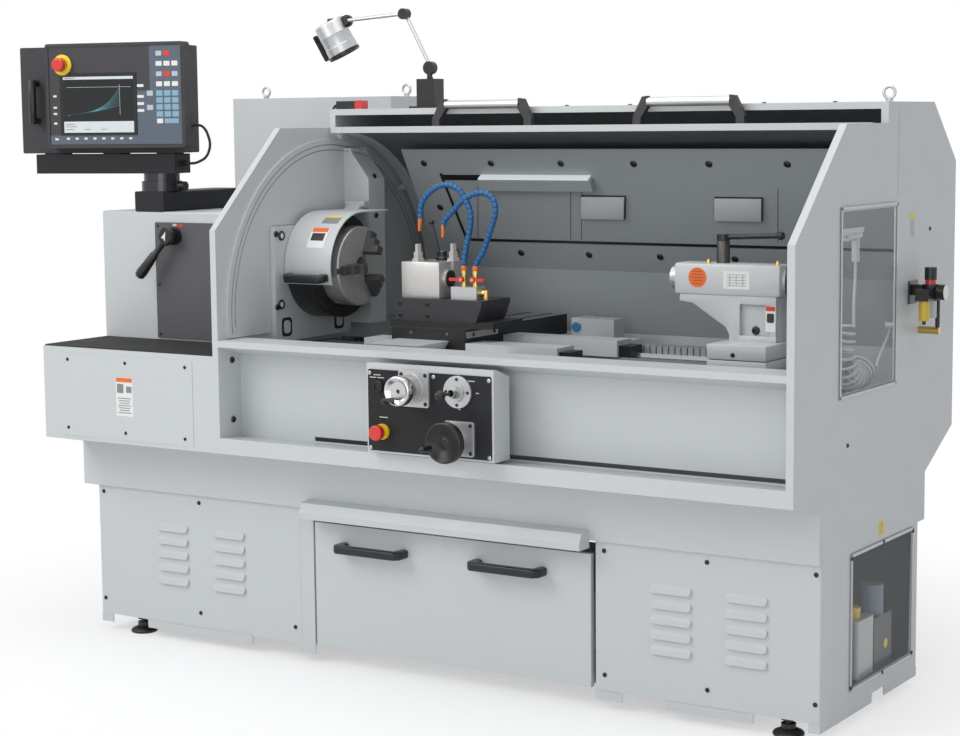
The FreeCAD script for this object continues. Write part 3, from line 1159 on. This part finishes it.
def make_tailstock():
    half = SPINDLE_Y - TAIL_FRONT_Y
    barrel = box(TAIL_X0, TAIL_X1, TAIL_FRONT_Y, SPINDLE_Y + half, SPINDLE_Z - half,
                 SPINDLE_Z + half)
    barrel = rounded(barrel, 26.0, along((1, 0, 0)))
    ring = rod(41.0, (TAIL_X0 - 14, SPINDLE_Y, SPINDLE_Z), (1, 0, 0), 14.0)
    web = prism_y([(1900, 1090), (1900, 1054), (1944, 1050), (2020, 1010), (2044, 985),
                   (2044, TAIL_BASE_TOP_Z), (2170, TAIL_BASE_TOP_Z), (2170, 1090)],
                  SPINDLE_Y - 36, SPINDLE_Y + 36)
    under = BED_TOP_Z + RUN_GAP
    base = prism_x([(BED_FRONT_Y - 4, under), (BED_FRONT_Y + BED_WIDTH + 4, under),
                    (BED_FRONT_Y + BED_WIDTH + 4, under + 24), (SPINDLE_Y + 66, TAIL_BASE_TOP_Z),
                    (SPINDLE_Y - 66, TAIL_BASE_TOP_Z), (BED_FRONT_Y - 4, under + 24)],
                   TAIL_BASE_X0, TAIL_BASE_X1)
    clamp_post = rod(17.0, (2006, SPINDLE_Y, SPINDLE_Z + half), (0, 0, 1), 58.0)
    oilers = [rod(7.0, (x, SPINDLE_Y, SPINDLE_Z + half), (0, 0, 1), 9.0) for x in (1950, 2120)]
    rear_boss = rod(30.0, (TAIL_X1, SPINDLE_Y, SPINDLE_Z), (1, 0, 0), 14.0)
    body = join([barrel, ring, web, base, clamp_post, rear_boss] + oilers)
    bore = rod(QUILL_R, (TAIL_X0 - 20, SPINDLE_Y, SPINDLE_Z), (1, 0, 0),
               TAIL_X1 - TAIL_X0 - 10)
    screw_bore = rod(9.0 + FIT_GAP, (TAIL_X1 - 60, SPINDLE_Y, SPINDLE_Z), (1, 0, 0), 100.0)
    pocket = box(2056, 2140, 300, SPINDLE_Y - 24, TAIL_BASE_TOP_Z + 12, 1050)
    add("tailstock", cut(body, [bore, screw_bore, pocket] + vee_grooves(1900, 2300)))
    quill = rod(QUILL_R - FIT_GAP, (QUILL_NOSE_X, SPINDLE_Y, SPINDLE_Z), (1, 0, 0),
                QUILL_LENGTH)
    taper = Part.makeCone(15.0, 10.0, 90.0, V(QUILL_NOSE_X - 1, SPINDLE_Y, SPINDLE_Z), V(1, 0, 0))
    screw_hole = rod(9.5, (QUILL_NOSE_X + 80, SPINDLE_Y, SPINDLE_Z), (1, 0, 0), 220.0)
    add("quill", quill.cut([taper, screw_hole]))
    screw = rod(9.0, (QUILL_NOSE_X + 150, SPINDLE_Y, SPINDLE_Z), (1, 0, 0),
                TAIL_X1 + 14 - QUILL_NOSE_X - 150 + 30)
    wheel_x = TAIL_X1 + 14 + RUN_GAP
    rim = Part.makeTorus(72.0, 9.0, V(wheel_x + 22, SPINDLE_Y, SPINDLE_Z), V(1, 0, 0))
    hub = rod(22.0, (wheel_x, SPINDLE_Y, SPINDLE_Z), (1, 0, 0), 30.0)
    spokes = [turned(box(wheel_x + 14, wheel_x + 28, SPINDLE_Y + 15, SPINDLE_Y + 70,
                         SPINDLE_Z - 7, SPINDLE_Z + 7), (0, SPINDLE_Y, SPINDLE_Z), (1, 0, 0),
                     angle) for angle in (30, 150, 270)]
    crank = rod(8.0, (wheel_x + 22, SPINDLE_Y - 62, SPINDLE_Z + 36), (1, 0, 0), 56.0)
    add("quill_handwheel", join([screw, rim, hub, crank] + spokes))
    lever_z = SPINDLE_Z + half + 58.0
    hub = rod(17.0, (2006, SPINDLE_Y, lever_z + RUN_GAP), (0, 0, 1), 16.0)
    bar = rod(7.0, (2018, SPINDLE_Y, lever_z + 9), (1, 0.0, 0.04), 150.0)
    tip = Part.makeSphere(11.0, V(2168, SPINDLE_Y, lever_z + 15))
    add("clamp_lever", join([hub, bar, tip]))


# ======================================================================================
# pendant: support tube, swivel, arm and console
# ======================================================================================
TUBE_X0 = 131.0
TUBE_X1 = 243.0
TUBE_LENGTH = 368.0
TUBE_WALL = 4.0
ARM_Z0 = 1380.0
ARM_Z1 = 1438.0
ARM_LX0 = -400.0
ARM_LX1 = 72.0
ARM_HALF_Y = 50.0
BEZEL_LX0 = -343.0
BEZEL_LX1 = 120.0
BEZEL_Z0 = 1457.0
BEZEL_Z1 = 1768.0
BEZEL_Y0 = -75.0
BEZEL_Y1 = -35.0
REAR_BOX_LX0 = -452.0
REAR_BOX_LX1 = 96.0
REAR_BOX_Y1 = 62.0
REAR_BOX_Z0 = 1441.0
REAR_BOX_Z1 = 1760.0
SCREEN_LX = (-286.0, -84.0)
SCREEN_Z = (1512.0, 1664.0)
CONSOLE_STOP = (-284.0, 1705.0)
CONSOLE_CABLE = ((72.0, 1409.0), (112.0, 1414.0), (150.0, 1436.0), (160.0, 1478.0),
                 (138.0, 1512.0), (96.0, 1522.0))
CABLE_R = 4.0


def in_pendant(shape):
    """Carries a shape from the swivel's own frame to its resting yaw."""
    return turned(moved(shape, (PENDANT_X, PENDANT_Y, 0)), (PENDANT_X, PENDANT_Y, 0),
                  (0, 0, 1), PENDANT_YAW)


def cord_path(points):
    """Straight runs joined by tangent arcs, with each arc's radius printed."""
    edges = []
    start = points[0]
    radii = []
    for before, corner, after in zip(points, points[1:], points[2:]):
        back = before.sub(corner)
        ahead = after.sub(corner)
        half = (math.pi - back.getAngle(ahead)) / 2
        reach = 0.45 * min(back.Length, ahead.Length)
        radius = reach / math.tan(half)
        radii.append(round(radius, 1))
        first = corner + back.normalize() * reach
        last = corner + ahead.normalize() * reach
        middle_dir = (first + last) * 0.5 - corner
        centre_distance = radius / math.cos(half)
        middle_dir.normalize()
        middle = corner + middle_dir * (centre_distance - radius)
        edges.append(Part.LineSegment(start, first).toShape())
        edges.append(Part.Arc(first, middle, last).toShape())
        start = last
    edges.append(Part.LineSegment(start, points[-1]).toShape())
    print("cord arc radii", radii)
    return Part.Wire(edges)


def cord_tube(points, radius):
    """A round cord along a path, with its volume set against its length."""
    path = cord_path(points)
    start = points[0]
    axis = points[1].sub(points[0])
    ring = Part.Wire(Part.Circle(start, axis, radius).toShape())
    solid = path.makePipeShell([ring], True, False)
    expected = math.pi * radius ** 2 * path.Length
    print("cord length", round(path.Length), "volume ratio", round(solid.Volume / expected, 4))
    return solid


def make_pendant():
    tube = box(TUBE_X0, TUBE_X1, COVER_FRONT_Y, COVER_FRONT_Y + TUBE_LENGTH, COVER_TOP_Z,
               COVER_TOP_Z + POST_SIZE)
    tube = rounded(tube, 6.0, along((0, 1, 0)))
    bore = box(TUBE_X0 + TUBE_WALL, TUBE_X1 - TUBE_WALL, COVER_FRONT_Y + TUBE_WALL,
               COVER_FRONT_Y + TUBE_LENGTH - TUBE_WALL, COVER_TOP_Z + TUBE_WALL,
               COVER_TOP_Z + POST_SIZE - TUBE_WALL)
    swivel_z = COVER_TOP_Z + POST_SIZE
    lower = rod(SWIVEL_R, (PENDANT_X, PENDANT_Y, swivel_z), (0, 0, 1), SWIVEL_H)
    pivot = rod(22.0, (PENDANT_X, PENDANT_Y, swivel_z), (0, 0, 1), SWIVEL_H + 18.0)
    lock_boss = box(PENDANT_X + 50, PENDANT_X + 72, PENDANT_Y - 9, PENDANT_Y + 9,
                    swivel_z + 5, swivel_z + 25)
    lock_hole = rod(5.0 + FIT_GAP, (PENDANT_X + 55, PENDANT_Y, swivel_z + 15), (1, 0, 0), 30.0)
    add("pendant_post", cut(join([tube.cut(bore), lower, pivot, lock_boss]), [lock_hole]))
    screw = rod(5.0, (PENDANT_X + 56, PENDANT_Y, swivel_z + 15), (1, 0, 0), 30.0)
    knob = rod(14.0, (PENDANT_X + 72 + RUN_GAP, PENDANT_Y, swivel_z + 15), (1, 0, 0), 20.0)
    add("swivel_lock", join([screw, knob]))
    upper_z = swivel_z + SWIVEL_H + RUN_GAP
    upper = Part.makeCylinder(SWIVEL_R - 7.0, ARM_Z0 - upper_z, V(0, 0, upper_z))
    arm = box(ARM_LX0, ARM_LX1, -ARM_HALF_Y, ARM_HALF_Y, ARM_Z0, ARM_Z1)
    arm = rounded(arm, 4.0, along((0, 0, 1)))
    connector = rod(9.0, (ARM_LX1, 0, 1409), (1, 0, 0), 14.0)
    hole = Part.makeCylinder(22.0 + FIT_GAP, ARM_Z0 - upper_z - 2.0, V(0, 0, upper_z - 1))
    hollow = box(ARM_LX0 + SHEET, ARM_LX1 - SHEET, SHEET - ARM_HALF_Y, ARM_HALF_Y - SHEET,
                 ARM_Z0 + SHEET, ARM_Z1 - SHEET)
    add("pendant_arm", in_pendant(join([upper, arm, connector]).cut([hole, hollow])))
    bezel = box(BEZEL_LX0, BEZEL_LX1, BEZEL_Y0, BEZEL_Y1, BEZEL_Z0, BEZEL_Z1)
    bezel = rounded(bezel, 9.0, along((0, 1, 0)))
    recess = box(BEZEL_LX0 + 10, BEZEL_LX1 - 10, BEZEL_Y0 - 1, BEZEL_Y0 + 3, BEZEL_Z0 + 10,
                 BEZEL_Z1 - 10)
    screen = box(SCREEN_LX[0], SCREEN_LX[1], BEZEL_Y0 + 1, BEZEL_Y0 + 5, SCREEN_Z[0],
                 SCREEN_Z[1])
    rear = box(REAR_BOX_LX0, REAR_BOX_LX1, BEZEL_Y1, REAR_BOX_Y1, REAR_BOX_Z0, REAR_BOX_Z1)
    rear = rounded(rear, 5.0, along((0, 1, 0)))
    pads = [box(x, x + 60, -30, 30, ARM_Z1, REAR_BOX_Z0) for x in (-380.0, -180.0, 0.0)]
    handle = bow_handle(0, 0, 0, 130.0, 28.0, 8.0)
    handle = turned(handle, (0, 0, 0), (0, 1, 0), 90.0)
    handle = moved(handle, ((REAR_BOX_LX0 + BEZEL_LX0) / 2, BEZEL_Y1, 1596.0))
    stop_ring = rod(22.0, (CONSOLE_STOP[0], BEZEL_Y0 - 3, CONSOLE_STOP[1]), (0, 1, 0), 8.0)
    gland = rod(9.0, (BEZEL_LX1 - 26, 0, CONSOLE_CABLE[-1][1]), (1, 0, 0), 12.0)
    gland = moved(gland, (REAR_BOX_LX1 - BEZEL_LX1 + 26, 0, 0))
    stop_hole = rod(9.0 + FIT_GAP, (CONSOLE_STOP[0], BEZEL_Y0 - 10, CONSOLE_STOP[1]),
                    (0, 1, 0), 30.0)
    body = join([bezel.cut(recess), screen, rear, handle, stop_ring, gland] + pads)
    hollow = box(REAR_BOX_LX0 + SHEET, REAR_BOX_LX1 - SHEET, BEZEL_Y1 + SHEET,
                 REAR_BOX_Y1 - SHEET, REAR_BOX_Z0 + SHEET, REAR_BOX_Z1 - SHEET)
    front_hollow = box(BEZEL_LX0 + 12, REAR_BOX_LX1 - 12, BEZEL_Y0 + 8, BEZEL_Y1 + SHEET + 1,
                       BEZEL_Z0 + 12, REAR_BOX_Z1 - 12)
    add("console", in_pendant(body.cut([stop_hole, hollow, front_hollow])))
    head = rod(20.0, (CONSOLE_STOP[0], BEZEL_Y0 - 33, CONSOLE_STOP[1]), (0, 1, 0), 18.0)
    head = head.makeFillet(5.0, [e for e in head.Edges if e.BoundBox.YMax < BEZEL_Y0 - 32])
    stem = rod(9.0, (CONSOLE_STOP[0], BEZEL_Y0 - 16, CONSOLE_STOP[1]), (0, 1, 0), 20.0)
    add("console_stop_button", in_pendant(join([head, stem])))
    route = [(ARM_LX1 + 14.0, 1409.0), (114.0, 1409.0), (152.0, 1426.0), (166.0, 1466.0),
             (152.0, 1506.0), (136.0, 1522.0), (REAR_BOX_LX1 + 12.0, 1522.0)]
    points = [V(x, 0, z) for x, z in route]
    add("console_cable", in_pendant(cord_tube(points, CABLE_R)))


# ======================================================================================
# work lamp
# ======================================================================================
LAMP_Y = 660.0
LAMP_BASE_X = 942.0
LAMP_J1 = (942.0, 1682.0)
LAMP_J2 = (854.0, 1841.0)
LAMP_J3 = (641.0, 1828.0)
LAMP_HEAD = (580.0, 1767.0)
LAMP_ARM_R = 7.0
KNUCKLE_R = 19.0


def knuckle(place, y0, y1, radius):
    """A round joint cheek between two depths."""
    return rod(radius, (place[0], y0, place[1]), (0, 1, 0), y1 - y0)


def bar_between(start, end, y, radius):
    """A round bar between two (x, z) places."""
    a, b = V(start[0], y, start[1]), V(end[0], y, end[1])
    return Part.makeCylinder(radius, b.sub(a).Length, a, b.sub(a))


def lamp_base():
    """The lamp's foot plate, base block and first joint cheek, fixed on the roof."""
    y = LAMP_Y
    x = LAMP_BASE_X
    foot = box(x - 54, x + 54, y - 40, y + 40, RAISED_ROOF_Z, RAISED_ROOF_Z + 6)
    foot = rounded(foot, 10.0, along((0, 0, 1)))
    block = box(x - 30, x + 30, y - 30, y + 30, RAISED_ROOF_Z + 6, 1650)
    block = rounded(block, 4.0, along((0, 0, 1)))
    neck = rod(9.0, (x, y, 1650), (0, 0, 1), LAMP_J1[1] - 1650)
    cheek = knuckle(LAMP_J1, y - 9, y - RUN_GAP, KNUCKLE_R)
    pin = knuckle(LAMP_J1, y - 9, y + 12, 5.0)
    neck = neck.cut(box(x - 20, x + 20, y - RUN_GAP, y + 20, 1655, 1700))
    return [foot, block, neck, cheek, pin]


def make_lamp():
    y = LAMP_Y
    trim1 = knuckle(LAMP_J1, y - 30, y + 30, KNUCKLE_R - 4)
    arm = bar_between(LAMP_J1, LAMP_J2, y + 6, LAMP_ARM_R - 1.5).cut(trim1)
    eye1 = knuckle(LAMP_J1, y, y + 12, KNUCKLE_R)
    hole1 = knuckle(LAMP_J1, y - 1, y + 13, 5.0 + FIT_GAP)
    cheek2 = knuckle(LAMP_J2, y, y + 12, KNUCKLE_R - 3)
    pin2 = knuckle(LAMP_J2, y - 12, y, 5.0)
    add("lamp_lower_arm", join([arm, eye1.cut(hole1), cheek2, pin2]))
    arm = bar_between(LAMP_J2, LAMP_J3, y - 6, LAMP_ARM_R - 1.5)
    eye2 = knuckle(LAMP_J2, y - 12, y - RUN_GAP, KNUCKLE_R - 3)
    hole2 = knuckle(LAMP_J2, y - 13, y + 1, 5.0 + FIT_GAP)
    cheek3 = knuckle(LAMP_J3, y - 12, y - RUN_GAP, KNUCKLE_R - 5)
    pin3 = knuckle(LAMP_J3, y - 1, y + 12, 4.0)
    add("lamp_upper_arm", join([join([arm, eye2]).cut(hole2), cheek3, pin3]))
    dx, dz = LAMP_HEAD[0] - LAMP_J3[0], LAMP_HEAD[1] - LAMP_J3[1]
    reach = math.hypot(dx, dz)
    aim = V(-0.62, -0.35, -0.70).normalize()
    stem = bar_between(LAMP_J3, LAMP_HEAD, y + 6, LAMP_ARM_R - 1.5)
    eye3 = knuckle(LAMP_J3, y, y + 12, KNUCKLE_R - 5)
    hole3 = knuckle(LAMP_J3, y - 1, y + 13, 4.0 + FIT_GAP)
    centre = V(LAMP_HEAD[0], y, LAMP_HEAD[1])
    body = Part.makeCylinder(48.0, 95.0, centre - aim * 55.0, aim)
    rim = Part.makeCylinder(55.0, 20.0, centre + aim * 32.0, aim)
    lens_hole = Part.makeCylinder(46.0, 10.0, centre + aim * 46.0, aim)
    hollow = Part.makeCylinder(42.0, 88.0, centre - aim * 49.0, aim)
    add("lamp_head", join([join([stem, eye3]).cut(hole3), body, rim]).cut([lens_hole, hollow]))


# ======================================================================================
# gear lever, right-hand services, interlock
# ======================================================================================
GEAR_HUB = (288.0, 1196.0)
GEAR_BALL = (198.0, 1087.0)
REG_X = 2450.0
REG_Y = 745.0
REG_TOP_Z = 1104.0
REG_BOTTOM_Z = 1050.0
SWITCH_X0 = X_IN_LEFT + 1.0
SWITCH_X1 = 760.0
SWITCH_Y0 = 569.0
SWITCH_Y1 = 597.0
SWITCH_TOP_Z = RAISED_ROOF_Z + 24.0


def make_gear_lever():
    x, z = GEAR_HUB
    face = COVER_FRONT_Y - GEAR_PANEL_T - RUN_GAP
    disc = rod(26.0, (x, face - 14, z), (0, 1, 0), 14.0)
    hub = rod(17.0, (x, face - 44, z), (0, 1, 0), 31.0)
    start = V(x, face - 34, z)
    end = V(GEAR_BALL[0], face - 52, GEAR_BALL[1])
    run = end.sub(start)
    arm = Part.makeCone(7.5, 6.0, run.Length, start, run)
    ball = Part.makeSphere(16.0, end, run)
    add("gear_lever", join([disc, hub, arm, ball]))


def interlock_switch():
    """The door's safety switch on the raised roof's front edge."""
    switch = box(SWITCH_X0, SWITCH_X1, SWITCH_Y0, SWITCH_Y1, RAISED_ROOF_Z, SWITCH_TOP_Z)
    switch = rounded(switch, 3.0, along((1, 0, 0)))
    gland = rod(8.0, (SWITCH_X0 + 12, SWITCH_Y1, SWITCH_TOP_Z - 12), (0, 1, 0), 20.0)
    return [switch, gland]


def make_services():
    y, x = REG_Y, REG_X
    bracket = box(X_RIGHT, X_RIGHT + 4, y - 30, y + 30, 1040, 1100)
    arm = box(X_RIGHT, x - 15, y - 8, y + 8, 1062, 1090)
    body = rod(21.0, (x, y, REG_BOTTOM_Z), (0, 0, 1), REG_TOP_Z - REG_BOTTOM_Z - 12)
    neck = rod(14.0, (x, y, REG_TOP_Z - 12), (0, 0, 1), 12.0)
    filter_head = box(x - 18, x + 18, y - 64, y - 18, 1052, 1082)
    bowls = [rod(16.0, (x, y, 1005), (0, 0, 1), 45.0), rod(14.0, (x, y - 44, 1000), (0, 0, 1), 52.0)]
    gauge = rod(20.0, (x + 20, y, 1072), (1, 0, 0), 22.0)
    drain = rod(5.0, (x, y - 44, 990), (0, 0, 1), 10.0)
    inlet = rod(6.0, (x, y + 15, 1067), (0, 1, 0), 39.0)
    drop = rod(6.0, (x, y + 54, 960), (0, 0, 1), 107.0)
    elbow = Part.makeSphere(8.5, V(x, y + 54, 1067))
    fitting = rod(10.0, (X_RIGHT, y + 54, 966), (1, 0, 0), x - X_RIGHT + 6)
    add("air_regulator", join([bracket, arm, body, neck, filter_head, gauge, drain, inlet, drop,
                               elbow, fitting] + bowls))
    knob = rod(16.0, (x, y, REG_TOP_Z + RUN_GAP), (0, 0, 1), 32.0)
    add("regulator_knob", knob)
    ly0, ly1 = 430.0, 690.0
    lx0, lx1 = 2300.0, 2392.0
    floor = FOOT_HEIGHT + SHEET * 2
    tray = box(lx0, lx1, ly0, ly1, floor, floor + 40)
    pump = box(lx0 + 10, lx1 - 12, 560, 680, floor + 40, floor + 175)
    reservoir = box(lx0 + 8, lx1 - 8, 440, 552, floor + 40, floor + 190)
    reservoir = rounded(reservoir, 10.0, along((0, 0, 1)))
    cap = rod(20.0, (lx0 + 46, 496, floor + 190), (0, 0, 1), 26.0)
    motor = rod(32.0, (lx0 + 46, 620, floor + 175), (0, 0, 1), 80.0)
    outlet = rod(7.0, (lx0 + 46, 552, floor + 120), (0, 1, 0), 20.0)
    add("lube_unit", join([tray, pump, reservoir, cap, motor, outlet]))


COIL_X = 2346.0
COIL_TOP = (400.0, 1010.0)
COIL_STRAIGHT = 55.0
COIL_BEND_R = 85.0
COIL_BEND = 120.0
COIL_R = 34.0
COIL_TURNS = 13
HOSE_TUBE_R = 4.0
GUN_X = 2374.0
GUN_Y = 400.0
GUN_Z = 1235.0
HOSE_FITTING = (640.0, 985.0)


def coil_axis(distance):
    """A place on the hanging coil's axis and its in-plane normal, a distance from the top."""
    y, z = COIL_TOP
    if distance <= COIL_STRAIGHT:
        return (y, z - distance), (1.0, 0.0)
    turn = min((distance - COIL_STRAIGHT) / COIL_BEND_R, math.radians(COIL_BEND))
    rest = distance - COIL_STRAIGHT - turn * COIL_BEND_R
    along_y, along_z = math.sin(turn), -math.cos(turn)
    centre_y, centre_z = y + COIL_BEND_R, z - COIL_STRAIGHT
    place = (centre_y - COIL_BEND_R * math.cos(turn) + rest * along_y,
             centre_z - COIL_BEND_R * math.sin(turn) + rest * along_z)
    return place, (-along_z, along_y)


def coil_solid():
    """The recoil hose's turns about its hanging axis, as one pipe on quarter-turn arcs."""
    total = COIL_STRAIGHT + COIL_BEND_R * math.radians(COIL_BEND) + 27.0
    steps = COIL_TURNS * 8
    points = []
    for index in range(steps + 1):
        (y, z), (ny, nz) = coil_axis(total * index / steps)
        turn = math.pi / 4 * index
        out = COIL_R * math.sin(turn)
        points.append(V(COIL_X + COIL_R * math.cos(turn), y + out * ny, z + out * nz))
    edges = []
    for index in range(0, steps, 2):
        edges.append(Part.Arc(points[index], points[index + 1], points[index + 2]).toShape())
    path = Part.Wire(edges)
    start_run = edges[0].tangentAt(edges[0].FirstParameter)
    ring = Part.Wire(Part.Circle(points[0], start_run, HOSE_TUBE_R).toShape())
    solid = path.makePipeShell([ring], True, False)
    pitch = total / COIL_TURNS
    gap = pitch * (1 - COIL_R / COIL_BEND_R) - 2 * HOSE_TUBE_R
    expected = math.pi * HOSE_TUBE_R ** 2 * path.Length
    print("recoil hose turns", COIL_TURNS, "least gap", round(gap, 2), "mm, length",
          round(path.Length), "volume ratio", round(solid.Volume / expected, 4))
    return solid, points[0], points[-1]


def make_air_gun():
    coil, top, end = coil_solid()
    grip_foot = V(GUN_X, GUN_Y + 22, GUN_Z - 66)
    riser = cord_tube([top, V(top.x, top.y, top.z + 50), V(GUN_X, GUN_Y + 22, GUN_Z - 110),
                       grip_foot], HOSE_TUBE_R)
    fitting_y, fitting_z = HOSE_FITTING
    lead = cord_tube([end, V(end.x, end.y + 20, end.z + 24),
                      V(end.x, fitting_y, fitting_z - 12), V(end.x, fitting_y, fitting_z)],
                     HOSE_TUBE_R)
    ends = [Part.makeSphere(HOSE_TUBE_R + 1.0, top), Part.makeSphere(HOSE_TUBE_R + 1.0, end)]
    wall_x = X_RIGHT - SHEET
    fitting = rod(9.0, (end.x - 10, fitting_y, fitting_z + 5), (1, 0, 0), wall_x - end.x + 10)
    body = rod(13.0, (GUN_X, GUN_Y - 40, GUN_Z), (0, 1, 0), 76.0)
    grip = rod(10.0, (GUN_X, GUN_Y + 22, GUN_Z - 66), (0, 0, 1), 70.0)
    spout = rod(4.0, (GUN_X, GUN_Y - 100, GUN_Z), (0, 1, 0), 62.0)
    hanger = box(wall_x - 3.0, wall_x, SIDE_WINDOW_Y0 - 26.0, GUN_Y + 20, GUN_Z + 9, GUN_Z + 21)
    hook = box(GUN_X - 5, wall_x, GUN_Y - 6, GUN_Y + 6, GUN_Z + 11, GUN_Z + 17)
    add("air_gun", join([coil, riser, lead, fitting, body, grip, spout, hanger, hook] + ends))


# ======================================================================================
# build
# ======================================================================================
def main():
    make_feet()
    make_cabinets()
    make_chip_pan()
    make_drawer()
    make_left_end_panel()
    make_right_end_panel()
    make_front_apron()
    make_rear_panels()
    make_windows()
    make_left_box()
    make_headstock_cover()
    make_electrical_cabinet()
    make_bed()
    make_headstock()
    make_spindle()
    make_chuck()
    make_chuck_guard()
    make_door()
    make_saddle()
    make_chain()
    make_control_box()
    make_controls()
    make_cross_slide()
    make_tool_post()
    make_coolant()
    make_tailstock()
    make_pendant()
    make_lamp()
    make_gear_lever()
    make_services()
    make_air_gun()
    bounds = FreeCAD.BoundBox()
    for shape in PARTS.values():
        bounds.add(shape.BoundBox)
    shift = V(-(bounds.XMin + bounds.XMax) / 2, -(bounds.YMin + bounds.YMax) / 2, -bounds.ZMin)
    os.makedirs("parts", exist_ok=True)
    for name, shape in PARTS.items():
        shape.translate(shift)
        shape.exportStep("parts/%s.step" % name)
    print("origin shift", [round(value, 3) for value in shift], "nodes", len(PARTS))


main()
